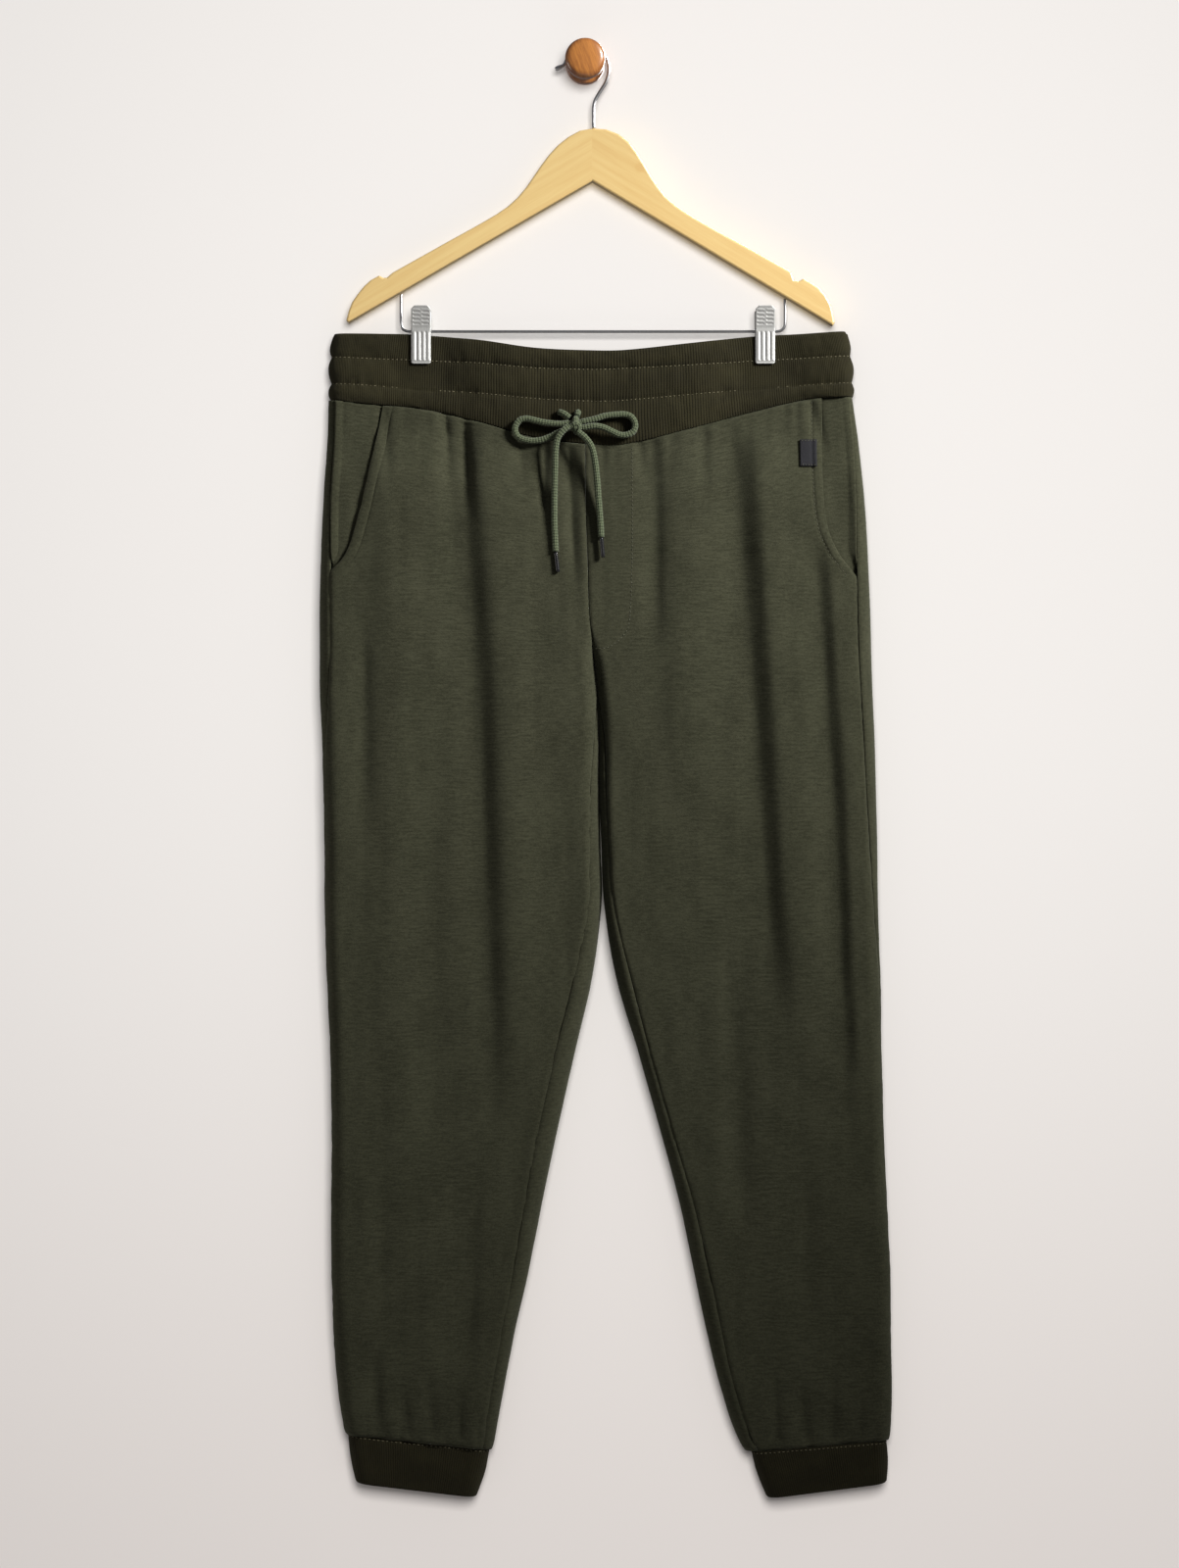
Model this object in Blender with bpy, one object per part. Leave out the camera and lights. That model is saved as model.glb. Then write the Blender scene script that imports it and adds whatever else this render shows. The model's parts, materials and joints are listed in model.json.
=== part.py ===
"""Jogger sweatpants hung by two clips from a wooden hanger on a round wall knob.

Metres, +Z up. The origin is the middle of the knob's flat back, on the wall plane y = 0, and the
front of the garment faces -Y. R and L are the wearer's right and left, so R lies at -X.
The tables hold millimetres, with z measured down from the knob's middle.

Each half of the garment is a flattened ring at every height. A place on a ring is its distance p
round it: 0 at the inner edge (the centre front above the crotch), along the front to the outer
edge, and back along the wall side. Panels are the stretches of that surface between two seams,
with a wall of the cloth's thickness.
"""

import math
from collections import namedtuple

import bmesh
import bpy
from mathutils import Vector

MM = 0.001

# Driving dimensions, mm
CLOTH = 2.2  # brushed fleece
RIB = 4.0  # waistband: two layers of rib with elastic between
CUFF_RIB = 3.2
HALF_GAP = 0.15  # each piece stops this far short of its seam
HANGING_PLANE = -14.0  # y of the hook, hanger, bar and the pinched waistband
BACK_PLANE = -4.0  # y of the garment's back
EDGE_ROUND = 13.0  # how far in from the silhouette the folded edge rounds over
CROTCH = -573.0
CROTCH_CURVE_TOP = -512.0  # the front and back rises start to curve inwards here
WAIST_SIDE = -309.0  # waist seam at the side
LEG_END = -1257.0  # cuff seam, middle height
LEVEL_MARGIN = 14.0  # the cloth's cut edge turns level over this height by the waist and cuff seams
NORMAL_STEP = 0.6  # distance between the points that a normal is taken from
SEAM_CURVE_END = -470.0  # rows follow the sagging waist seam down to here
CUFF_CURVE_START = -1160.0  # rows follow the slanted cuff seam from here

CLIP_X = {"R": -149.4, "L": 164.0}
CLIP_WIDTH = 17.9
CLIP_TOP = -223.0
CLIP_END = -275.5
JAW = 2.6
PINCH = 4.4  # half the thickness of the waistband between the jaws
FLAT_BY_CLIP = 18.0  # the waistband stays pinched this far from a clip's middle
CLIP_SPREAD = 32.0  # and opens out over about this far beyond that
TOP_BOW = 8.0  # how far the waistband's top edge opens between the clips
SIDE_BOW = 4.0  # and outside them
SEAM_HALF = 9.0  # half depth of the waist seam under a clip
SEAM_BOW = 5.0  # added to it away from the clips
BACK_LIMIT = 9.0  # most half depth on the wall side
WAIST_BLEND = 70.0  # below the waist seam the front takes its own depth over this height
BAND_MIDDLE = -276.0
BAND_BUNCH = 1.35  # the band's columns stand closer at the side folds
CHANNEL_PUFF = 2.0  # each channel of the waistband swells this far on the front
PUFF_BACK = 1.5
PUFF_START = 16.0  # the swelling starts over this distance beyond the pinched stretch

CORD = 5.8
AGLET = 3.8
BAR = 2.5
BAR_Z = -245.4
WIRE = 3.0
HANGER_THICK = 12.0
KNOB_SHANK = 14.6
SIGN = {"R": -1, "L": 1}

# One row for each cross-section. outer and inner are the silhouette's x, front is the y of the
# front, side is how far the side seam lies in from the outer edge on the front, and inseam how
# far the inseam lies in from the inner edge.
Section = namedtuple(
    "Section", "z outer_R inner_R inner_L outer_L front side_R side_L inseam_R inseam_L"
)
SECTIONS = [
    Section(-246, -229, 0, 0, 238, -24, 4, 3, 0, 0),
    Section(-276, -232, 0, 0, 243, -26, 4, 3, 0, 0),
    Section(-309, -232, 0, 0, 244, -28, 4.5, 3, 0, 0),
    Section(-349, -233, 0, 0, 249, -32, 5, 5, 0, 0),
    Section(-400, -236, 0.5, 0.5, 254, -36, 5.5, 8, 0, 0),
    Section(-452, -238, 2, 2, 257, -38, 7.5, 11, 0, 0),
    Section(-497, -239, 3, 3, 259, -39, 9, 12.5, 0, 0),
    Section(-538, -239, 6, 6, 260, -40, 9.5, 12.5, 0, 0),
    Section(-573, -239, 10, 10, 261, -40, 8, 11.5, 0, 0),
    Section(-614, -237, 10.5, 13, 263, -40, 3.5, 11, 3, 3),
    Section(-658, -236, 10.5, 13, 264, -40, 0.5, 9.5, 6, 5),
    Section(-712, -235, 11.5, 15, 265, -40, 0, 7, 8, 6),
    Section(-768, -235, 12.5, 17.5, 266, -39, 0, 4, 10, 8),
    Section(-837, -233, 3.5, 29, 269, -38, 0, 1.5, 14, 13),
    Section(-904, -230, -12, 49, 270, -37, 0, 0, 15.5, 10),
    Section(-971, -229, -27, 68, 272, -36, 0, 0, 15.5, 10),
    Section(-1038, -229, -41, 85, 275, -35, 0, 0, 13, 13),
    Section(-1104, -229, -54, 99, 278, -34, 0, 0, 11.5, 14.5),
    Section(-1182, -226, -71, 117, 279, -32, 0, 0, 10, 13),
    Section(-1227, -222, -80, 131, 279, -31, 0, 0, 9, 12.5),
    Section(-1257, -217, -86, 144, 277, -28, 0, 0, 7, 12.5),
]

# The waistband's front: the heights of its top edge, its two stitch lines and its seam.
Waist = namedtuple("Waist", "x top line_1 line_2 seam")
WAIST = [
    Waist(-232, -248, -269.5, -294, -309),
    Waist(-190, -248, -271, -296, -313.5),
    Waist(-158, -248.5, -272, -298.5, -316),
    Waist(-101, -253.5, -275, -302.5, -328),
    Waist(-46, -261.5, -280, -308, -343.5),
    Waist(10, -264, -281.5, -310.5, -350),
    Waist(37, -263.5, -280.5, -309.5, -349.5),
    Waist(93, -257.5, -277.5, -304.5, -336),
    Waist(152, -250.5, -273, -299, -320),
    Waist(200, -248, -270.5, -295.5, -309),
    Waist(241, -245.5, -268.5, -293.5, -306),
]
BAND_LINES = (0.0, -21.5, -46.0, -61.0)  # the same four lines on the back, below its top edge

# Folds of the front, from the top: x at the start, middle and end, z at the start and end, the
# half widths to the left and right (in x), the depth (a trough is positive, a ridge negative) and
# how far each end fades. A fold is steep on the side that faces away from the light.
Fold = namedtuple("Fold", "x1 x2 x3 z1 z2 left right depth fade1 fade2")
FOLDS_R = [
    Fold(-118, -93, -86, -326, -1010, 22, 12, 4.0, 18, 200),
    Fold(-94, -72, -66, -330, -1000, 14, 30, -5.0, 50, 220),
    Fold(-178, -175, -178, -330, -1150, 18, 30, -3.0, 60, 200),
    Fold(-109, -106, -103, -322, -430, 7, 5, 4.5, 10, 70),
    Fold(-127, -124, -120, -318, -420, 5.5, 5.5, 2.5, 8, 70),
    Fold(-182, -180, -178, -311, -400, 6, 5, 3.0, 8, 60),
    Fold(-37, -37, -36, -342, -440, 5.5, 5.5, 3.5, 8, 60),
    Fold(-15, -12, -8, -346, -500, 6, 6, 4.0, 10, 70),
    Fold(-58, -58, -58, -338, -390, 5, 5, 2.0, 8, 35),
    Fold(-200, -199, -198, -500, -730, 12, 8, 2.5, 60, 90),
    Fold(-136, -137, -130, -480, -1100, 26, 22, 2.5, 120, 200),
    Fold(-178, -182, -184, -840, -1180, 12, 12, 2.0, 120, 120),
    Fold(-102, -103, -108, -980, -1215, 18, 9, 3.0, 90, 60),
    Fold(-190, -188, -187, -1165, -1256, 8, 6, 2.5, 45, 10),
    Fold(-164, -163, -160, -1195, -1256, 7, 5, 2.5, 35, 8),
    Fold(-140, -139, -138, -1180, -1256, 7, 6, 2.5, 45, 8),
    Fold(-112, -113, -114, -1200, -1256, 7, 5, 2.0, 35, 8),
]
FOLDS_L = [
    Fold(131, 153, 178, -322, -930, 30, 12, 4.5, 60, 180),
    Fold(156, 176, 197, -326, -950, 12, 28, -5.5, 40, 180),
    Fold(205, 226, 238, -420, -1020, 14, 7, 2.5, 50, 160),
    Fold(219, 240, 251, -420, -1020, 7, 16, -3.0, 50, 160),
    Fold(63, 64, 64, -340, -560, 12, 6, 3.0, 10, 90),
    Fold(84, 84, 88, -340, -720, 12, 42, -2.5, 40, 140),
    Fold(134, 135, 137, -326, -390, 6, 5, 1.0, 8, 45),
    Fold(50, 53, 56, -344, -400, 5, 5, 2.0, 8, 40),
    Fold(110, 108, 107, -332, -420, 6, 6, 2.0, 10, 60),
    Fold(207, 211, 222, -306, -366, 7, 5, 3.0, 8, 40),
    Fold(128, 136, 150, -760, -1120, 16, 12, 2.5, 120, 140),
    Fold(196, 200, 204, -960, -1190, 20, 12, 3.0, 110, 80),
    Fold(170, 172, 176, -1170, -1262, 8, 6, 2.5, 45, 10),
    Fold(196, 198, 200, -1195, -1260, 7, 5, 2.5, 35, 8),
    Fold(224, 224, 225, -1180, -1258, 7, 6, 2.5, 45, 8),
    Fold(250, 250, 250, -1200, -1256, 7, 5, 2.0, 35, 8),
]
FOLDS_BACK = [
    Fold(-176, -172, -168, -312, -640, 12, 12, 4.0, 20, 170),
    Fold(-118, -112, -108, -320, -560, 10, 10, 3.5, 16, 130),
    Fold(-62, -60, -66, -324, -760, 12, 12, 4.5, 18, 200),
    Fold(-20, -18, -16, -326, -450, 8, 8, 3.0, 12, 80),
    Fold(46, 44, 42, -326, -520, 9, 9, 3.5, 14, 110),
    Fold(98, 104, 116, -322, -820, 12, 12, 4.5, 18, 220),
    Fold(150, 152, 156, -316, -520, 9, 9, 3.5, 14, 110),
    Fold(202, 206, 210, -310, -690, 11, 11, 4.0, 18, 180),
    Fold(-150, -158, -160, -780, -1200, 14, 14, 3.5, 140, 90),
    Fold(190, 200, 206, -860, -1210, 14, 14, 3.5, 140, 90),
    Fold(-136, -136, -136, -1190, -1256, 7, 7, 2.5, 40, 8),
    Fold(-178, -177, -176, -1180, -1256, 7, 7, 2.5, 45, 8),
    Fold(182, 184, 186, -1190, -1260, 7, 7, 2.5, 40, 8),
    Fold(232, 232, 232, -1180, -1258, 7, 7, 2.5, 45, 8),
]

# Pocket openings: x of the front's cut edge at each z, down to where it meets the side seam.
Opening = namedtuple("Opening", "z x")
POCKETS = {
    "R": [
        Opening(-309, -184),
        Opening(-349, -191),
        Opening(-383, -198),
        Opening(-414, -205),
        Opening(-450, -216.5),
        Opening(-467, -230.5),
    ],
    "L": [
        Opening(-306, 215),
        Opening(-383, 215.5),
        Opening(-426, 220),
        Opening(-450, 230),
        Opening(-464, 241),
        Opening(-471, 246.4),
    ],
}
FACING_TUCK = 12.0  # how far the facing reaches in under the front
FACING_DROP = 1.3  # its distance behind the front's inner face
FACING_RAMP = 8.0  # its edge rises to the side seam over this width
FACING_NARROW = 7.0  # and stays under the front where it shows less than this
FACING_WIDE = 19.0  # up to the full rise here
FACING_FOOT = 10.0  # how far it reaches below the pocket's lower end

# Grid rows of the panels, by z at the side seam; the pocket's lower end is put in between.
ROWS_ABOVE = [-309, -321, -336, -356, -383, -414, -446]
ROWS_BELOW = [
    -500, -538, -573, -614, -670, -740, -837, -940, -1060, -1150, -1205, -1238, -1257,
]
LEG_PARTING = -800.0  # the panels are parted here, so that their collision pieces stay open inside
FRONT_COLUMNS = 30
BACK_COLUMNS = 20
FRONT_BUNCH = 0.25  # how much closer the columns stand at the panel's edges
BACK_BUNCH = 0.55

# Cuffs: x and z of the seam's and the hem's outer and inner corners.
Cuff = namedtuple(
    "Cuff",
    "outer_top z_outer_top inner_top z_inner_top outer_hem z_outer_hem inner_hem z_inner_hem",
)
CUFFS = {
    "R": Cuff(-215.5, -1249, -87, -1263, -208.5, -1294, -99, -1307),
    "L": Cuff(274, -1255, 151.5, -1265, 274.5, -1294, 166, -1308),
}
CUFF_FRONT = -28.0
CUFF_BACK = -6.0
CUFF_PUFF = 1.2  # its swelling between the seam and the hem

# Drawcord routes, mm, one row for each point. The two ends of the cord leave the waistband at
# the entries and are tied in a bow: entry, loop and tail on each side of the knot.
Route = namedtuple("Route", "x y z")
KNOT = Route(-8.6, -36.6, -333.0)
KNOT_HALF = (5.6, 6.0, 7.4)
CORD_ROUTES = {
    "cord_entry_R": [
        Route(-23.5, -32.1, -321.0),
        Route(-20.0, -34.4, -322.2),
        Route(-16.4, -35.2, -324.6),
        Route(-14.3, -35.5, -326.5),
    ],
    "cord_entry_L": [
        Route(-6.4, -31.1, -321.0),
        Route(-6.8, -33.3, -322.0),
        Route(-7.4, -35.6, -325.0),
    ],
    "cord_loop_R": [
        Route(-14.6, -36.5, -331.3),
        Route(-22.8, -36.0, -332.1),
        Route(-36.4, -35.2, -330.8),
        Route(-45.4, -34.6, -328.7),
        Route(-53.3, -34.0, -327.1),
        Route(-59.9, -33.8, -328.9),
        Route(-63.7, -33.8, -336.3),
        Route(-60.5, -33.8, -343.6),
        Route(-51.1, -33.9, -347.0),
        Route(-40.9, -34.2, -346.7),
        Route(-31.8, -34.7, -343.7),
        Route(-25.0, -35.2, -340.2),
        Route(-14.4, -35.6, -335.3),
    ],
    "cord_loop_L": [
        Route(-3.1, -36.7, -330.3),
        Route(8.9, -36.2, -327.6),
        Route(18.0, -35.4, -324.8),
        Route(27.1, -34.6, -323.6),
        Route(36.2, -34.0, -323.3),
        Route(41.9, -33.8, -325.5),
        Route(45.3, -33.9, -331.8),
        Route(43.7, -34.0, -338.5),
        Route(38.0, -34.4, -341.7),
        Route(31.3, -35.0, -341.8),
        Route(24.8, -36.2, -339.1),
        Route(17.3, -37.6, -335.7),
        Route(8.9, -38.4, -334.2),
        Route(-2.4, -38.1, -335.8),
    ],
    "cord_tail_R": [
        Route(-14.6, -41.4, -334.2),
        Route(-20.4, -42.4, -339.2),
        Route(-24.9, -42.2, -345.9),
        Route(-26.6, -41.4, -354.9),
        Route(-27.2, -40.8, -371.8),
        Route(-27.6, -40.8, -389.9),
        Route(-27.8, -41.0, -405.7),
        Route(-27.8, -41.2, -422.7),
        Route(-27.2, -41.6, -437.4),
        Route(-26.6, -42.0, -448.2),
    ],
    "cord_tail_L": [
        Route(-6.8, -41.9, -339.5),
        Route(0.0, -42.6, -345.1),
        Route(5.5, -42.0, -352.7),
        Route(8.4, -41.4, -363.0),
        Route(10.7, -41.0, -381.3),
        Route(12.1, -41.0, -400.1),
        Route(13.5, -41.2, -417.0),
        Route(14.6, -41.8, -434.8),
    ],
}
LOOP_SPACING = 1.3  # in cord diameters: a bow's bends are tight
TAIL_SPACING = 2.0
AGLET_ROUTES = {
    "aglet_R": [
        Route(-26.6, -42.0, -448.7), Route(-25.5, -42.3, -457.7), Route(-24.4, -42.6, -466.7),
    ],
    "aglet_L": [
        Route(14.7, -41.8, -435.3), Route(15.5, -41.9, -444.4), Route(16.3, -42.1, -453.4),
    ],
}
AGLET_SPACING = 6.0
LABEL_BOX = (194.8, 210.0, -370.5, -346.0)  # x and z
LABEL = 0.8
LABEL_LIFT = 0.7  # the folded label's back stands this far off the fleece

# Clips
JAW_BEND = -243.0  # z where the handle starts to lean out
HANDLE_LEAN = 3.6
PIVOT_HALF = (7.5, PINCH, 3.3)
PIVOT_LIFT = 0.6  # the block's middle lies this far above the bar's

# Hanger outline, seen from the front: x and z. Smooth runs are curved through their points.
HANGER_LEFT_END = [(-217.5, -236), (-213.5, -222), (-206, -210.5), (-197, -200.5), (-187.5, -195)]
HANGER_LEFT_NOTCH = [(-183.5, -197.2), (-180.5, -197)]
HANGER_SHOULDERS = [
    (-175.5, -192.5), (-130, -167), (-82, -140), (-66, -128.5), (-53.5, -114.5), (-41, -96),
    (-25.5, -77), (-7, -64), (7, -61), (21.5, -62.5), (37.5, -71), (51, -89.5), (62.5, -108.5),
    (76.5, -126.5), (100, -143), (145, -168), (188, -192),
]
HANGER_RIGHT_NOTCH = [(190.5, -199.5), (194.5, -200.3)]
HANGER_RIGHT_END = [(199, -197.9), (208, -203), (216.5, -210), (223.5, -221), (227.3, -238)]
HANGER_UNDERSIDE = [(225.5, -240.5), (6.5, -109), (-215.5, -237.5)]

# Hook: x and z from the flared free end, over the knob, to the hanger.
HOOK_ROUTE = [
    (-27.5, -6.2), (-23.2, -4.4), (-19.6, -2.4), (-17.4, 1.4), (-15.6, 6.8), (-11.2, 12.8),
    (-5.0, 15.8), (0.0, 16.4), (6.6, 15.4), (13.8, 11.4), (18.8, 5.3), (21.4, -3.0), (21.2, -10.5),
    (18.6, -18.6), (13.4, -27.0), (9.0, -35.0), (7.8, -41.5), (7.7, -50.0), (7.7, -60.4),
]
# Turned profile of the knob: radius and y.
KNOB_PROFILE = [
    (17.0, 0.0), (17.6, -0.8), (17.6, -6.6), (16.8, -8.0), (KNOB_SHANK, -9.0),
    (KNOB_SHANK, -19.0), (15.6, -21.5), (17.6, -24.0),
    (18.2, -27.0), (18.2, -33.0), (17.5, -35.6), (15.6, -37.4), (11.0, -38.4), (5.0, -38.8),
]

Look = namedtuple("Look", "colour roughness metallic")
LOOKS = {
    "fleece": Look((0.052, 0.055, 0.038), 0.95, 0.0),
    "rib": Look((0.034, 0.031, 0.018), 0.95, 0.0),
    "cord": Look((0.115, 0.16, 0.095), 0.9, 0.0),
    "tip": Look((0.02, 0.02, 0.022), 0.4, 0.0),
    "label": Look((0.012, 0.012, 0.015), 0.8, 0.0),
    "maple": Look((0.78, 0.53, 0.22), 0.45, 0.0),
    "brown_wood": Look((0.42, 0.16, 0.04), 0.35, 0.0),
    "clip": Look((0.5, 0.5, 0.5), 0.35, 0.6),
    "steel": Look((0.55, 0.55, 0.55), 0.25, 1.0),
}


def clamp(value, low=0.0, high=1.0):
    return max(low, min(high, value))


def ease(value):
    t = clamp(value)
    return t * t * (3 - 2 * t)


def mix(a, b, t):
    return a + (b - a) * t


def smooth(x, xs, ys):
    """The value at x of a smooth curve through the points xs, ys, level beyond its ends."""
    if xs[0] > xs[-1]:
        xs, ys = xs[::-1], ys[::-1]
    x = clamp(x, xs[0], xs[-1])
    i = 0
    while i < len(xs) - 2 and x > xs[i + 1]:
        i += 1

    def slope(j):
        low, high = max(j - 1, 0), min(j + 1, len(xs) - 1)
        return (ys[high] - ys[low]) / (xs[high] - xs[low])

    span = xs[i + 1] - xs[i]
    t = (x - xs[i]) / span
    return (
        ys[i] * (1 + 2 * t) * (1 - t) ** 2
        + ys[i + 1] * t * t * (3 - 2 * t)
        + span * slope(i) * t * (1 - t) ** 2
        + span * slope(i + 1) * t * t * (t - 1)
    )


def columns_of(rows):
    return {name: [getattr(row, name) for row in rows] for name in rows[0]._fields}


SECTION_COLUMNS = columns_of(SECTIONS)
WAIST_COLUMNS = columns_of(WAIST)
POCKET_COLUMNS = {side: columns_of(rows) for side, rows in POCKETS.items()}


def section(name, z):
    return smooth(z, SECTION_COLUMNS["z"], SECTION_COLUMNS[name])


def waist_line(name, x, front):
    """Height of one of the waistband's lines at x, on the front or the back."""
    if front:
        return smooth(x, WAIST_COLUMNS["x"], WAIST_COLUMNS[name])
    top = smooth(x, WAIST_COLUMNS["x"], WAIST_COLUMNS["top"])
    return top + BAND_LINES[Waist._fields.index(name) - 1]


def cuff_seam(side, x):
    cuff = CUFFS[side]
    t = clamp((x - cuff.outer_top) / (cuff.inner_top - cuff.outer_top))
    return mix(cuff.z_outer_top, cuff.z_inner_top, t)


# --- the flattened rings ---------------------------------------------------------------------

Ring = namedtuple("Ring", "inner sign width start bend_in bend_out total")


def ring(inner, outer, half_depth, closing):
    """A flattened ring from its inner to its outer x. closing is 0 where its inner end is cut
    flat at the centre front and 1 where it rounds over to the back, as on a leg."""
    start = math.asin(1 - closing)
    bend = math.pi / 2 * math.sqrt((EDGE_ROUND**2 + half_depth**2) / 2)
    bend_in = bend * (1 - start / (math.pi / 2))
    width = abs(outer - inner)
    flat = width - EDGE_ROUND - EDGE_ROUND * math.cos(start)
    sign = math.copysign(1, outer - inner)
    return Ring(inner, sign, width, start, bend_in, bend, bend_in + flat + bend)


def leg_ring(side, z):
    closing = ease((CROTCH_CURVE_TOP - z) / (CROTCH_CURVE_TOP - CROTCH))
    half_depth = (BACK_PLANE - section("front", z)) / 2
    inner = section("inner_" + side, z) + SIGN[side] * HALF_GAP
    return ring(inner, section("outer_" + side, z), half_depth, closing)


def on_ring(a_ring, p):
    """x, the share of the full depth (1 on the flat faces, 0 at an edge), and whether p is on
    the front."""
    p = p % (2 * a_ring.total)
    front = p <= a_ring.total
    q = p if front else 2 * a_ring.total - p
    if q < a_ring.bend_in:
        angle = mix(a_ring.start, math.pi / 2, q / a_ring.bend_in)
        across = EDGE_ROUND * (math.cos(a_ring.start) - math.cos(angle))
        share = math.sin(angle)
    elif q > a_ring.total - a_ring.bend_out:
        angle = math.pi / 2 * (a_ring.total - q) / a_ring.bend_out
        across = a_ring.width - EDGE_ROUND * (1 - math.cos(angle))
        share = math.sin(angle)
    else:
        across = EDGE_ROUND * math.cos(a_ring.start) + q - a_ring.bend_in
        share = 1.0
    return a_ring.inner + a_ring.sign * across, share, front


def p_at_x(a_ring, x):
    """The place on the front of a ring that has this x."""
    across = clamp(a_ring.sign * (x - a_ring.inner), 0.0, a_ring.width)
    bend_width = EDGE_ROUND * math.cos(a_ring.start)
    if across > a_ring.width - EDGE_ROUND:
        angle = math.acos(clamp(1 - (a_ring.width - across) / EDGE_ROUND, -1.0))
        return a_ring.total - a_ring.bend_out * angle / (math.pi / 2)
    if across < bend_width:
        angle = math.acos(clamp(math.cos(a_ring.start) - across / EDGE_ROUND, -1.0))
        return a_ring.bend_in * (angle - a_ring.start) / (math.pi / 2 - a_ring.start)
    return a_ring.bend_in + across - bend_width


# --- depth of the front and the back -----------------------------------------------------------


def clip_distance(x):
    return min(abs(x - middle) for middle in CLIP_X.values())


def waist_half_depth(x, z, front):
    """Half depth of the waistband: pinched flat at the clips, bowed open between them."""
    top = waist_line("top", x, front)
    seam = waist_line("seam", x, front)
    opened = 1 - math.exp(-((max(0.0, clip_distance(x) - FLAT_BY_CLIP) / CLIP_SPREAD) ** 2))
    bow = TOP_BOW if CLIP_X["R"] < x < CLIP_X["L"] else SIDE_BOW
    start = mix(CLIP_END - 3, top, opened)
    down = ease((start - z) / (start - seam))
    depth = mix(PINCH + bow * opened, SEAM_HALF + SEAM_BOW * opened, down)
    return depth if front else min(depth, BACK_LIMIT)


def fold_depth(folds, x, z):
    total = 0.0
    for fold in folds:
        t = (fold.z1 - z) / (fold.z1 - fold.z2)
        if not 0 < t < 1:
            continue
        middle = (
            fold.x1 * (1 - t) * (1 - 2 * t) + fold.x2 * 4 * t * (1 - t) + fold.x3 * t * (2 * t - 1)
        )
        away = (x - middle) / (fold.left if x < middle else fold.right)
        if abs(away) < 3:
            ends = ease((fold.z1 - z) / fold.fade1) * ease((z - fold.z2) / fold.fade2)
            total += fold.depth * ends * math.exp(-away * away)
    return total


def depth_at(side, x, z, front, folded=True):
    """y of the garment's outer face at x and z, before its edges round over."""
    half = waist_half_depth(x, z, front)
    waist_y = HANGING_PLANE + (-half if front else half)
    body_y = section("front", z) if front else BACK_PLANE
    y = mix(waist_y, body_y, ease((waist_line("seam", x, front) - z) / WAIST_BLEND))
    if folded and front:
        y += fold_depth(FOLDS_R if side == "R" else FOLDS_L, x, z)
    elif folded:
        y -= fold_depth(FOLDS_BACK, x, z)
    return y


def on_surface(side, p, row_z, folded=True):
    """A point of the garment's outer face. row_z is the height of its row at the side; the
    rows follow the waist seam near the top and the cuff seam near the hem."""
    x, share, front = on_ring(leg_ring(side, row_z), p)
    z = row_z
    if row_z > SEAM_CURVE_END:
        fade = clamp((row_z - SEAM_CURVE_END) / (WAIST_SIDE - SEAM_CURVE_END))
        z += (waist_line("seam", x, front) - WAIST_SIDE) * fade
    elif row_z < CUFF_CURVE_START:
        fade = clamp((CUFF_CURVE_START - row_z) / (CUFF_CURVE_START - LEG_END))
        z += (cuff_seam(side, x) - LEG_END) * fade
    return Vector((x, shaped_y(side, x, z, share, front, folded), z))


def shaped_y(side, x, z, share, front, folded=True):
    middle = (depth_at(side, x, z, True, False) + depth_at(side, x, z, False, False)) / 2
    return mix(middle, depth_at(side, x, z, front, folded), share)


def offset_point(side, p, row_z, out):
    """A point of the outer face moved out along the face's normal (in, where out is negative).
    Next to the waist and cuff seams it moves level, so that it stays on its side of the seam."""
    before, after = p - NORMAL_STEP, p + NORMAL_STEP
    if row_z > CROTCH:
        before, after = max(before, 0.0), min(after, 2 * leg_ring(side, row_z).total - 1e-6)
    along = on_surface(side, after, row_z) - on_surface(side, before, row_z)
    way = p / leg_ring(side, row_z).total
    low, high = row_z - NORMAL_STEP, row_z + NORMAL_STEP
    down = on_surface(side, way * leg_ring(side, low).total, low)
    down -= on_surface(side, way * leg_ring(side, high).total, high)
    normal = along.cross(down)
    if SIGN[side] > 0:
        normal.negate()
    normal.z *= ease(min(WAIST_SIDE - row_z, row_z - LEG_END) / LEVEL_MARGIN)
    return on_surface(side, p, row_z) + normal.normalized() * out


# --- making solids -----------------------------------------------------------------------------


def material(name):
    found = bpy.data.materials.get(name)
    if found:
        return found
    look = LOOKS[name]
    made = bpy.data.materials.new(name)
    made.use_nodes = True
    made.diffuse_color = (*look.colour, 1.0)
    shader = made.node_tree.nodes["Principled BSDF"]
    shader.inputs["Base Color"].default_value = (*look.colour, 1.0)
    shader.inputs["Roughness"].default_value = look.roughness
    shader.inputs["Metallic"].default_value = look.metallic
    return made


def finish(name, bm, look, smooth_angle=40.0):
    """Turn a bmesh in millimetres into a named object in metres."""
    bmesh.ops.scale(bm, vec=(MM, MM, MM), verts=bm.verts)
    bmesh.ops.recalc_face_normals(bm, faces=bm.faces)
    mesh = bpy.data.meshes.new(name)
    bm.to_mesh(mesh)
    bm.free()
    mesh.shade_smooth()
    mesh.set_sharp_from_angle(angle=math.radians(smooth_angle))
    mesh.materials.append(material(look))
    made = bpy.data.objects.new(name, mesh)
    bpy.context.scene.collection.objects.link(made)
    return made


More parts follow.
